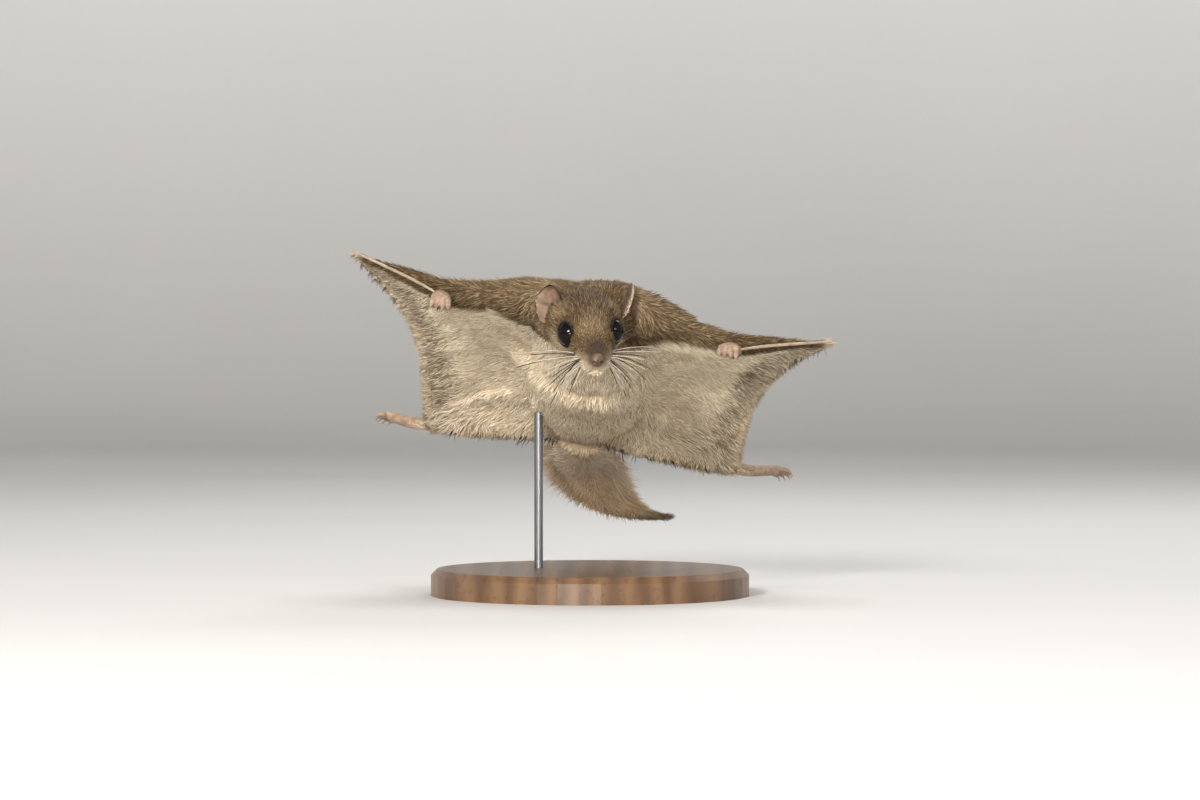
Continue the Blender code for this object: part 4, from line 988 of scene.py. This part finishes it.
def edge_coat(line, side, ahead_of, count, length, name, dense=3):
    """Hair that stands out past the free edge of a membrane."""
    t = (np.arange(count * dense) + RNG.random(count * dense)) / (count * dense)
    p = along(line, t)
    q = along(line, np.minimum(t + 0.01, 1)) - along(line, np.maximum(t - 0.01, 0))
    q = unit(q)
    out = np.cross(q, np.array([0, 0, 1.0]))
    out *= np.sign(np.sum(out * ahead_of, axis=1, keepdims=True))
    level = RNG.uniform(-0.5, 0.5, len(p))
    p[:, 2] += level
    p -= out * 0.9
    aim = unit(out + q * RNG.normal(0.30, 0.22, len(p))[:, None] * np.sign(q[:, 1:2] + 0.01))
    up = np.zeros_like(p)
    up[:, 2] = np.where(level > 0, 1.0, -1.0)
    for a in (p, aim, up):
        a[:, 0] *= side
    world = to_world(p)
    aim, up = turn(aim, BODY), turn(up, BODY)
    n = len(p)
    long = length * (0.6 + 0.7 * RNG.random(n)) * (0.35 + 0.65 * ramp(t, 0.0, 0.22)) + 0.9
    half = np.full(n, 0.16) * (0.8 + 0.5 * RNG.random(n))
    data = tufts(world, up, aim, long, half, RNG.normal(2, 6, n), 4.0, 3 if length > 3 else 2, 0.16)
    fields = coat_fields(world, up)
    marks = {key: fields[key] for key in MARKS}
    low = up[:, 2] < 0
    marks["rim"] = np.full(n, 0.9)
    marks["brown"] = np.where(low, 0.0, 0.35)
    marks["edge"] = np.zeros(n)
    marks["tail"] = np.zeros(n)
    return coat_piece(name, data, marks, unwrap(world, up), "fur_belly", soft=False)


def tail_coat():
    """Long hair of the brush: short at the root, combed to both sides and back."""
    path = tail_path(TAIL_STEPS)
    count = BRUSH_TUFTS
    t = ((np.arange(count) + RNG.random(count)) / count) ** 0.92 * 0.985
    i = t * TAIL_STEPS
    low = np.minimum(i.astype(int), TAIL_STEPS - 1)
    centre = path[low] + (path[low + 1] - path[low]) * (i - low)[:, None]
    ahead = unit(path[low + 1] - path[low])
    side_axis = unit(np.cross(ahead, np.array([0, 0, 1.0])))
    rise = np.cross(side_axis, ahead)
    rows = np.array(tail_core(path))
    steps = np.arange(TAIL_STEPS + 1)
    wide = np.maximum(np.interp(i, steps, rows[:, 3]) - 1.0, 0.3)
    thick = np.maximum(np.interp(i, steps, rows[:, 4]) - 1.0, 0.3)
    angle = RNG.uniform(0, 2 * np.pi, count)
    ca, sa = np.cos(angle), np.sin(angle)
    root = centre + side_axis * (ca * wide)[:, None] + rise * (sa * thick)[:, None]
    up = unit(side_axis * (0.35 * ca / wide)[:, None] + rise * (sa / thick)[:, None])
    fan = np.radians(np.clip(46 - 26 * t + RNG.normal(0, 5, count), 8, 62))
    across = np.sign(ca) * np.abs(ca) ** 0.75
    aim = unit(ahead * np.cos(fan)[:, None] + side_axis * (np.sin(fan) * across * 1.25)[:, None])
    reach = tail_half(np.minimum(t + 0.06, 1)) - wide * np.abs(ca)
    side_long = reach / np.maximum(np.sin(fan) * np.abs(across), 0.30)
    longest = 5.5 + 6.5 * np.abs(ca) ** 2
    length = np.minimum(np.clip(side_long, 3.6, 12.5), longest) * (0.78 + 0.34 * RNG.random(count))
    length *= 0.6 + 0.4 * ramp(t, 0.0, 0.16)
    length = np.minimum(length, (1 - t) * TAIL_LENGTH + 6.0)
    world = to_world(root)
    up, aim = turn(up, BODY), turn(aim, BODY)
    half = 0.070 + 0.006 * length
    data = tufts(world, up, aim, length, half * (1.0),
                 3.5 + np.abs(RNG.normal(0, 3, count)), 3.0, 3, 0.07)
    fields = coat_fields(world, up)
    marks = {key: fields[key] for key in MARKS}
    marks["tail"] = np.maximum(marks["tail"], ramp(t, 0.0, 0.10))
    marks["dark"] = ramp(t, 0.66, 0.92) * (0.55 + 0.4 * RNG.random(count))
    # Paler tail base: cream hair, made paler still as painted light against the body's shadow on the tail
    # root.
    marks["pale"] = (1 - ramp(t, 0.16, 0.62)) * (sa < 0.3) * 0.95
    marks["buff"] = 0.35 * ramp(np.abs(ca), 0.5, 0.9) * (1 - marks["pale"]) * (1 - marks["dark"])
    uv = unwrap(world, up)
    made = []
    faces_each = len(data[3]) // count
    for k in range(0, count, BRUSH_PIECE_TUFTS):
        s = slice(k, k + BRUSH_PIECE_TUFTS)
        part = tuple(d[s] for d in data[:3]) + (data[3][:len(data[0][s]) * faces_each], data[4])
        made.append(coat_piece("coat_brush" + (f"_{k // BRUSH_PIECE_TUFTS + 1}" if k else ""), part,
                               {key: v[s] for key, v in marks.items()}, uv[s], "fur_tail",
                               soft=False))
    return made


# Face, paws and stand

def tube(points, radii, sides=6):
    rows = [(*p, r, r, r) for p, r in zip(points, radii)]
    return loft(rows, sides)


def ring(centre, axis, radius, width, sides=40, tube_sides=10):
    axis = np.array(axis)
    side = unit(np.cross(axis, (0, 0, 1.0)))
    up = np.cross(side, axis)
    pts, faces = [], []
    for i in range(sides):
        a = 2 * math.pi * i / sides
        out = side * math.cos(a) + up * math.sin(a)
        for k in range(tube_sides):
            b = 2 * math.pi * k / tube_sides
            pts.append(np.array(centre) + out * (radius + width * math.cos(b))
                       + axis * width * 0.8 * math.sin(b))
            p, q = i * tube_sides + k, i * tube_sides + (k + 1) % tube_sides
            r = ((i + 1) % sides) * tube_sides
            faces.append((p, q, r + (k + 1) % tube_sides, r + k))
    return np.array(pts), faces


def build_face(materials):
    for side, word in ((-1, "right"), (1, "left")):
        centre, axis = np.array([side * EYE[0], EYE[1], EYE[2]]), eye_axis(side)
        pts, faces = ellipsoid(centre, (EYE_RADIUS,) * 3, 36, 48)
        rel = pts - centre
        ahead = rel @ axis
        cap = ramp(ahead, 3.2, 4.5)
        pts = pts + axis * (0.16 * cap)[:, None]
        eye = make("eyeball_" + word, move(pts, HEAD), faces, "eye", ["eye_" + word])
        fix_normals(eye)
        eye.data.materials.append(materials["eye"])
        lid = ring(centre + axis * 2.38, axis, 3.82, 0.36)
        lid = make("eyelid_" + word, move(lid[0], HEAD), lid[1], "nose_skin")
        fix_normals(lid)
        lid.data.materials.append(materials["lid"])

    pts, faces = ellipsoid(NOSE, NOSE_RADII, 44, 56)
    rel = pts - np.array(NOSE)
    for side in (-1, 1):
        hole = np.linalg.norm((rel - np.array([side * 1.2, -2.0, -0.25]))
                              / np.array([0.62, 1.2, 0.5]), axis=1)
        dent = 1 - ramp(hole, 0.5, 1.25)
        pts[:, 1] += dent * 0.85
    split = (1 - ramp(np.abs(rel[:, 0]), 0.05, 0.38)) * ramp(-rel[:, 1], 0.6, 1.6)
    split *= 1 - ramp(rel[:, 2], 0.2, 1.2)
    pts[:, 1] += 0.35 * split
    pts[:, 2] -= 0.25 * (1 - ramp(np.abs(rel[:, 0]), 0.0, 0.8)) * (rel[:, 2] < -0.4)
    nose = make("nose_pad", move(pts, HEAD), faces, "nose_skin", ["nose"])
    fix_normals(nose)
    nose.data.materials.append(materials["nose"])


def ear_patch(side, turn_out):
    base = np.array([10.7 if side < 0 else 12.6, 4.4 if side < 0 else 2.4, 3.0]) * np.array([side, 1, 1])
    rise = unit(np.array([-0.12 if side < 0 else 0.52, 0.50, 0.85]))
    beta = math.radians(turn_out)
    front = np.array([side * math.sin(beta), -math.cos(beta), 0.0])
    front = unit(front - rise * (front @ rise))
    across_axis = np.cross(rise, front)

    def patch(u, v):
        a = 2 * u - 1
        width = 4.9 * np.sqrt(np.maximum(0.02, 1 - np.abs((v - 0.50) / 0.535) ** 2.7))
        roll = np.radians(84 - 50 * v)
        sideways = width * np.sin(a * roll) / np.sin(roll)
        deep = width * (1 - np.cos(a * roll)) / np.sin(roll) * (0.8 if side < 0 else 0.5)
        height = 11.8 * v * (1 - 0.05 * a * a) - 2.5
        fold = 0.55 * np.exp(-((a + 0.28 * side) / 0.17) ** 2) * np.sin(np.pi * np.clip(v * 1.15, 0, 1))
        return (base + rise * height[..., None] + across_axis * sideways[..., None]
                + front * (deep - 1.5 + fold)[..., None])
    return patch, front


def build_ears(materials):
    for side, word, turn_out in ((-1, "right", 40.0), (1, "left", 98.0)):
        patch, front = ear_patch(side, turn_out)
        shape = sheet(patch, 48, 48, lambda u, v: 0.62 - 0.3 * v)
        gu, gv = np.meshgrid(np.linspace(0, 1, 49), np.linspace(0, 1, 49))
        inward = -side * (2 * gu - 1)
        # The ear skin darkens along its rim, partly dark skin and partly painted shade, with a painted shadow
        # in the fold across the cup and a darker lower inner part.
        rim_and_shade = np.maximum(ramp(inward, 0.66, 0.90), ramp(gv, 0.86, 0.97) * ramp(inward, -0.7, -0.1))
        fold_shade = np.exp(-((gv - 0.49 + 0.18 * inward) / 0.055) ** 2) * ramp(inward, -0.85, -0.5)
        rim_and_shade = np.maximum(rim_and_shade, 0.9 * fold_shade)
        rim_and_shade = np.maximum(rim_and_shade, 0.7 * ramp(inward, 0.1, 0.6) * (1 - ramp(gv, 0.40, 0.7)))
        # On the left ear the skin is darkened all over but the front edge, as painted shade inside the cup.
        if side > 0:
            rim_and_shade = ramp(2 * gu - 1, -0.80, -0.55)
        rim_and_shade = rim_and_shade.ravel()
        ear = make("pinna_" + word, move(shape[0], HEAD), shape[1], "ear_skin", ["ear_" + word],
                   values={"rim_and_shade": np.r_[rim_and_shade, rim_and_shade]})
        fix_normals(ear)
        ear.data.materials.append(materials["ear"])
        u, v = RNG.random(EAR_TUFTS), 0.97 * RNG.random(EAR_TUFTS) ** 0.8
        n = len(u)
        mid, du, dv = surface(patch, u, v)
        normal = unit(np.cross(du, dv))
        normal *= np.sign(normal @ front)[:, None]
        inside = RNG.random(n) < 0.24
        outward = side * (2 * u - 1)
        keep = ~inside | ((outward > 0.45 + 0.5 * v) & (v < 0.85)) | (v < 0.42)
        normal = np.where(inside[:, None], normal, -normal)
        root = mid + normal * (0.32 - 0.14 * v)[:, None]
        aim = unit(dv + du * RNG.normal(0, 0.2, n)[:, None])
        length = np.where(inside, 1.7, 1.5) * (0.7 + 0.5 * RNG.random(n)) * (1 - 0.35 * v)
        data = tufts(move(root, HEAD)[keep], turn(normal, HEAD)[keep], turn(aim, HEAD)[keep],
                     length[keep], np.full(keep.sum(), 0.085), np.full(keep.sum(), 12.0), 6.0, 2, 0.1)
        m = int(keep.sum())
        marks = {key: np.zeros(m) for key in MARKS}
        marks["brown"] = np.where(inside[keep] & (v[keep] > 0.45), 0.35, 1.0)
        marks["dark"] = np.where(inside[keep], 0.0, 0.35)
        marks["buff"] = np.where(inside[keep], 0.5, 0.25)
        if side > 0:
            front_edge = (2 * u - 1 < -0.84)[keep]
            marks["pale"] = 0.5 * front_edge
            # The left ear's tufts are dark except at the pale front edge: painted shade inside the cup.
            marks["dark"] = np.where(front_edge, 0.0, 0.7)
        flat = np.c_[0.02 + 0.2 * u + 0.24 * (side > 0), 0.02 + 0.25 * v][keep]
        coat_piece("coat_ear_" + word, data, marks, flat, "fur_head").data.materials.append(
            materials["hair"])


def whiskers(materials):
    lines = {"dark": [], "pale": []}
    for side in (-1, 1):
        for row in range(5):
            for k in range(5):
                base = np.array([side * (4.5 + 0.35 * k), -19.8 + 1.15 * k, -2.4 - 0.85 * row])
                out = unit(np.array([side * (0.95 - 0.09 * row), -0.25 + 0.21 * k,
                                     -0.06 - 0.27 * row + RNG.normal(0, 0.08)]))
                long = (9.0 + 3.9 * k * (0.7 + 0.5 * RNG.random())) * (1 - 0.03 * row)
                bend = np.array([0.0, 0.26, -0.40 + RNG.normal(0, 0.09)])
                steps = 14
                p, pts, rad = base - out * 1.2, [], []
                for i in range(steps + 1):
                    t = i / steps
                    pts.append(p.copy())
                    rad.append(0.021 * (1 - t) ** 0.7 + 0.008)
                    p = p + unit(out + bend * t * 1.3) * long / steps
                kind = "dark" if (2 * row + k + (side > 0)) % 3 == 0 else "pale"
                lines[kind].append(tube(pts, rad, 5))
    for kind, shapes in lines.items():
        pts, faces = merge(shapes)
        obj = make("whiskers_" + kind, move(pts, HEAD), faces, "fur_head")
        fix_normals(obj)
        obj.data.materials.append(materials["whisker_" + kind])


def digit(root, ahead, bend, length, radius, claw):
    """Points and faces of a finger or toe with pads, and of its claw."""
    p, ahead, bend = np.array(root, float), unit(np.array(ahead)), np.array(bend)
    pts, rad = [], []
    steps = 14
    for i in range(steps + 1):
        t = i / steps
        r = radius * (1.0 - 0.22 * t + 0.13 * math.sin(4 * math.pi * t + 0.4))
        if t > 0.86:
            r *= math.sqrt(max(0.08, 1 - ((t - 0.86) / 0.15) ** 2))
        pts.append(p.copy())
        rad.append(r)
        p = p + unit(ahead + bend * t) * length / steps
    flesh = tube(pts, rad, 12)
    p = pts[-3]
    aim = unit(ahead + bend)
    cp, cr = [], []
    for i in range(9):
        t = i / 8
        cp.append(p.copy())
        cr.append(radius * 0.42 * (1 - t) ** 0.75 + 0.03)
        p = p + unit(aim + bend * (0.3 + 1.3 * t)) * (claw + 0.9) / 8
    return flesh, tube(cp, cr, 8)


def build_ridges(materials):
    """The pale ridge of the spur that carries each wing tip, from the wrist outward."""
    for side, word in ((-1, "right"), (1, "left")):
        line = smooth_rows(RIDGE, 10)
        n = len(line) - 1
        rows = []
        for i, p in enumerate(line):
            r = 0.52 * math.sin(math.pi * min(0.96, 0.10 + 0.86 * i / n)) ** 0.5 + 0.12
            rows.append((*p, r, r * 0.8, r * 0.8))
        shape = loft(sided(rows, side), 12)
        obj = make("wing_ridge_" + word, to_world(shape[0]), shape[1], "fur_belly")
        fix_normals(obj)
        obj.data.materials.append(materials["ridge"])


def build_paws(materials):
    for side, word in ((-1, "right"), (1, "left")):
        def flip(p):
            return np.array([p[0] * side, p[1], p[2]])
        knuckles = np.array(KNUCKLES) - (np.array([0.2, 0.0, 2.1]) if side < 0 else np.array([1.2, 0, 0]))
        hand_rows = smooth_rows([(48.4, -9.0, -5.0, 3.0, 2.2, 2.2), ((48.4 + knuckles[0]) / 2, -14.4,
                                 (-5.6 + knuckles[2]) / 2, 3.3, 2.3, 2.0), (*knuckles, 3.5, 1.9, 1.7)], 6)
        flesh, claws = [loft(sided(hand_rows, side), 24)], []
        for k in range(4):
            spread = k - 1.5
            root = knuckles + np.array([spread * 1.62, 0.5 + 0.3 * abs(spread), 0.5])
            a, c = digit(flip(root), (side * spread * 0.10, -0.80, -0.45), (0, 2.3, -1.5),
                         3.7 - 0.3 * abs(spread), 1.0, 0.7)
            flesh.append(a)
            claws.append(c)
        for x, y, z, r in ((-1.5, -13.0, -1.8, 1.1), (1.4, -12.8, -1.8, 1.1), (0.0, -15.4, -2.2, 1.2)):
            pad = (side * (knuckles[0] + x), y, knuckles[2] + 3.0 + z)
            flesh.append(ellipsoid(pad, (r, r * 1.1, 0.9), 10, 14))
        hand = paw("paw_hand_" + word, flesh, claws, ["hand_" + word], materials)
        paw_coat(hand, "coat_hand_" + word, WRIST, knuckles, materials)

        foot_rows = smooth_rows([(*ANKLE, 2.4, 2.1, 2.1), (59.0, 90.5, -1.8, 2.4, 1.9, 2.1),
                                 (*TOE_BASE, 3.1, 1.6, 1.7)], 8)
        flesh, claws = [loft(sided(foot_rows, side), 24)], []
        run = unit(np.array(TOE_BASE) - np.array(ANKLE))
        across = unit(np.cross(run, (0, 0, 1.0)))
        for k in range(5):
            spread = k - 2.0
            root = np.array(TOE_BASE) - run * (0.9 + 0.35 * abs(spread)) + across * spread * 1.15
            ahead = run + across * spread * 0.07
            a, c = digit(flip(root), flip(ahead), (0, 0.1, -0.45), 7.2 - 0.55 * abs(spread), 0.92, 1.5)
            flesh.append(a)
            claws.append(c)
        for t, off, r in ((0.25, 0.3, 1.3), (0.75, -1.6, 1.0), (0.80, 0.0, 1.05), (0.75, 1.6, 1.0)):
            c = np.array(ANKLE) + (np.array(TOE_BASE) - np.array(ANKLE)) * t + across * off
            c[2] -= 1.2
            flesh.append(ellipsoid(flip(c), (r, r, 0.8), 10, 14))
        foot = paw("paw_foot_" + word, flesh, claws, ["foot_" + word], materials)
        paw_coat(foot, "coat_foot_" + word, ANKLE, TOE_BASE, materials)


def paw(name, flesh, claws, replaced, materials):
    points, faces = merge(flesh)
    obj = make(name, to_world(points), faces, "bare_skin", replaced)
    remesh = obj.modifiers.new("remesh", "REMESH")
    remesh.mode = "VOXEL"
    remesh.voxel_size = PAW_VOXEL * MM
    remesh.use_smooth_shade = True
    apply_all(obj)
    relax(obj, 3, 0.5)
    obj.data.materials.append(materials["paw"])
    points, faces = merge(claws)
    horn = make(name + "_claws", to_world(points), faces, "bare_skin")
    fix_normals(horn)
    horn.data.materials.append(materials["claw"])
    return obj


def paw_coat(obj, name, start, stop, materials):
    """Short flat hair on the back of a hand or foot, from the joint to the roots of the digits."""
    co, tri, normal = arrays(obj)
    b = wring(move(co, BODY_INV), back=True)
    b[:, 0] = np.abs(b[:, 0])
    start, stop = np.array(start), np.array(stop)
    reach = np.linalg.norm(stop - start)
    t = (b - start) @ (stop - start) / reach ** 2
    top = ramp(turn(normal, BODY_INV)[:, 2], -0.35, 0.25)
    cover = np.maximum(top, 1 - ramp(t, 0.1, 0.4)) * (1 - ramp(t, 0.95, 1.2))
    root, up, f = scatter(co, tri, normal, {"density": 7.5 * cover, "t": t, "top": top})
    n = len(root)
    side = np.sign(wring(move(root, BODY_INV), back=True)[:, 0])
    aim = np.tile((stop - start) / reach, (n, 1))
    aim[:, 0] *= side
    length = (1.9 - 0.9 * np.clip(f["t"], 0, 1)) * RNG.uniform(0.7, 1.2, n)
    data = tufts(root, up, turn(aim, BODY), length, np.full(n, 0.075), np.full(n, 11.0), 5.0, 2, 0.15)
    marks = {key: np.zeros(n) for key in MARKS}
    marks["brown"] = 0.75 * f["top"]
    marks["buff"] = 0.6 * RNG.random(n)
    coat_piece(name, data, marks, unwrap(root, up), "fur_back").data.materials.append(materials["hair"])


def wood_material():
    mat, nt, shader = tree("stand_wood", rough=0.42, specular=0.4)
    k = Nodes(nt)
    warp = k.noise(14.0, 3.0, 0.5)
    wave = nt.nodes.new("ShaderNodeTexWave")
    wave.bands_direction = "X"
    wave.inputs["Scale"].default_value = 34.0
    wave.inputs["Distortion"].default_value = 5.0
    wave.inputs["Detail"].default_value = 3.0
    wave.inputs["Detail Scale"].default_value = 1.4
    mapping = nt.nodes.new("ShaderNodeMapping")
    mapping.inputs["Scale"].default_value = (1.0, 0.12, 0.5)
    nt.links.new(k.coords(), mapping.inputs["Vector"])
    nt.links.new(mapping.outputs["Vector"], wave.inputs["Vector"])
    grain = k.ramp(wave.outputs["Fac"], [(0.0, (0.072, 0.036, 0.017)), (0.5, (0.125, 0.066, 0.031)),
                                         (1.0, (0.170, 0.094, 0.046))])
    pores = k.noise(420.0, 3.0, 0.6, (1.0, 0.06, 1.0))
    grain = k.mix(k.ramp(pores, [(0.56, (0, 0, 0)), (0.70, (0.7, 0.7, 0.7))]), grain, (0.03, 0.014, 0.007))
    grain = k.mix(k.math("MULTIPLY", warp, 0.4), grain, (0.20, 0.105, 0.05))
    nt.links.new(grain, shader.inputs["Base Color"])
    shader.inputs["Coat Weight"].default_value = 0.25
    shader.inputs["Coat Roughness"].default_value = 0.28
    k.bump(pores, shader, 0.25, 0.1)
    return mat


def steel_material():
    mat, nt, shader = tree("stand_steel", (0.55, 0.55, 0.56), 0.3, 1.0)
    k = Nodes(nt)
    brushed = k.noise(600.0, 4.0, 0.6, (6.0, 6.0, 0.15))
    nt.links.new(k.ramp(brushed, [(0.3, (0.17, 0.17, 0.175)), (0.7, (0.25, 0.25, 0.26))]),
                 shader.inputs["Base Color"])
    nt.links.new(k.math("ADD", k.math("MULTIPLY", brushed, 0.22), 0.26), shader.inputs["Roughness"])
    return mat


def make_materials():
    m = {"fur": fur_material("fur_skin", False), "hair": fur_material("fur_tufts", True)}
    m["paw"] = flesh_material("bare_skin", (0.165, 0.102, 0.066), (0.370, 0.262, 0.182), 0.6)
    m["ear"] = flesh_material("ear_skin", (0.100, 0.058, 0.035), (0.220, 0.136, 0.086), 0.6, "rim_and_shade")
    m["nose"] = flesh_material("nose_skin", (0.060, 0.034, 0.020), (0.120, 0.070, 0.043), 0.45)
    m["lid"] = flesh_material("eyelid_skin", (0.008, 0.006, 0.005), (0.020, 0.014, 0.011), 0.75)
    m["ridge"] = flesh_material("ridge_fur", (0.20, 0.150, 0.098), (0.37, 0.295, 0.21), 0.8)
    m["claw"] = flesh_material("claw_horn", (0.17, 0.125, 0.085), (0.34, 0.27, 0.19), 0.35)
    m["whisker_dark"] = flesh_material("whisker_dark", (0.022, 0.015, 0.010), (0.050, 0.036, 0.025), 0.4)
    m["whisker_pale"] = flesh_material("whisker_pale", (0.34, 0.28, 0.21), (0.52, 0.45, 0.35), 0.4)
    m["lid"].node_tree.nodes["Principled BSDF"].inputs["Specular IOR Level"].default_value = 0.1
    mat, nt, shader = tree("eye_dark", (0.004, 0.003, 0.003), 0.05, 0.0, 0.13)
    k = Nodes(nt)
    nt.links.new(k.ramp(k.noise(500.0, 3.0), [(0.3, (0.003, 0.0022, 0.002)), (0.7, (0.006, 0.0045, 0.0035))]),
                 shader.inputs["Base Color"])
    m["eye"] = mat
    return m


# Stage, camera and light

def stage():
    mat, nt, shader = tree("studio_paper", (0.62, 0.61, 0.59), 0.85, 0.0, 0.2)
    k = Nodes(nt)
    nt.links.new(k.ramp(k.noise(2.0, 2.0), [(0.3, (0.56, 0.55, 0.535)), (0.7, (0.60, 0.59, 0.575))]),
                 shader.inputs["Base Color"])
    # Painted light: the paper glows, from none at the floor to full up the walls, and lights the scene as a
    # soft fill.
    split = nt.nodes.new("ShaderNodeSeparateXYZ")
    nt.links.new(k.coords(), split.inputs["Vector"])
    nt.links.new(k.ramp(split.outputs["Z"], [(0.02, (0, 0, 0)), (0.5, (0.27, 0.27, 0.265))]),
                 shader.inputs["Emission Color"])
    shader.inputs["Emission Strength"].default_value = 1.0
    floor, curve, wall, sides = 1.75, 0.4, 2.2, 96
    rows = [(0.01, 0.0), (1.0, 0.0), (floor, 0.0)]
    for i in range(1, 13):
        a = math.radians(90) * i / 12
        rows.append((floor + curve * math.sin(a), curve - curve * math.cos(a)))
    rows.append((floor + curve, wall))
    pts, faces = [], []
    for r, z in rows:
        pts += [(r * math.cos(2 * math.pi * k / sides), r * math.sin(2 * math.pi * k / sides), z)
                for k in range(sides)]
    for i in range(len(rows) - 1):
        for k in range(sides):
            a, b = i * sides + k, i * sides + (k + 1) % sides
            faces.append((a, b, b + sides, a + sides))
    faces.append(tuple(range(sides - 1, -1, -1)))
    mesh = bpy.data.meshes.new("backdrop")
    mesh.from_pydata(pts, [], faces)
    mesh.polygons.foreach_set("use_smooth", [True] * len(faces))
    obj = bpy.data.objects.new("backdrop", mesh)
    bpy.context.scene.collection.objects.link(obj)
    obj.data.materials.append(mat)


def lamp(name, place, aim, size, power, colour=(1, 1, 1)):
    light = bpy.data.lights.new(name, "AREA")
    light.shape = "DISK"
    light.size = size
    light.energy = power
    light.color = colour
    obj = bpy.data.objects.new(name, light)
    obj.location = place
    obj.rotation_euler = (Vector(aim) - Vector(place)).to_track_quat("-Z", "Y").to_euler()
    bpy.context.scene.collection.objects.link(obj)


def look():
    scene = bpy.context.scene
    camera = bpy.data.cameras.new("camera")
    camera.lens = 128.1
    camera.sensor_width = 36.0
    camera.clip_start = 0.05
    obj = bpy.data.objects.new("camera", camera)
    scene.collection.objects.link(obj)
    obj.location = (0.0, -1.448, 0.093)
    obj.rotation_euler = (math.radians(90 - 1.06), 0.0, math.radians(-0.134))
    scene.camera = obj
    target = (0.0, -0.02, 0.09)
    lamp("key", (-0.48, -1.38, 0.58), target, 0.22, 27.0, (1.0, 0.965, 0.915))
    lamp("fill", (1.0, -1.0, 0.5), target, 0.3, 3.2, (0.95, 0.975, 1.0))
    lamp("under", (-0.25, -1.6, 0.03), target, 0.25, 9.5, (1.0, 0.975, 0.94))
    lamp("top", (0.0, -0.25, 1.3), target, 0.9, 9.0)
    lamp("rim", (0.35, 0.65, 0.8), target, 0.5, 3.0)
    world = bpy.data.worlds.new("room")
    world.use_nodes = True
    world.node_tree.nodes["Background"].inputs["Color"].default_value = (0.80, 0.83, 0.88, 1)
    world.node_tree.nodes["Background"].inputs["Strength"].default_value = 0.22
    scene.world = world
    scene.view_settings.view_transform = "Standard"


def build():
    materials = make_materials()
    skin = build_skin()
    co, tri, normal = arrays(skin)
    fields = coat_fields(co, normal)
    paint(skin, fields, unwrap(co, normal))
    skin.data.materials.clear()
    skin.data.materials.append(materials["fur"])
    coat = build_coat(co, tri, normal, fields)
    for side, word in ((-1, "right"), (1, "left")):
        coat.append(edge_coat(OUTER, side, np.array([1.0, 0, 0]), 900, 2.4, "coat_edge_" + word))
        coat.append(edge_coat(REAR, side, np.array([0, 1.0, 0]), 620, 4.2, "coat_rear_" + word))
    coat += tail_coat()
    for obj in coat:
        obj.data.materials.append(materials["hair"])
    build_face(materials)
    build_ears(materials)
    whiskers(materials)
    build_ridges(materials)
    build_paws(materials)
    for name, mat in (("stand_base", wood_material()), ("stand_rod", steel_material())):
        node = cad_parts[name]
        node.data.materials.clear()
        node.data.materials.append(mat)
        if name == "stand_base":
            node.data.polygons.foreach_set("use_smooth", [False] * len(node.data.polygons))
    stage()
    look()


build()
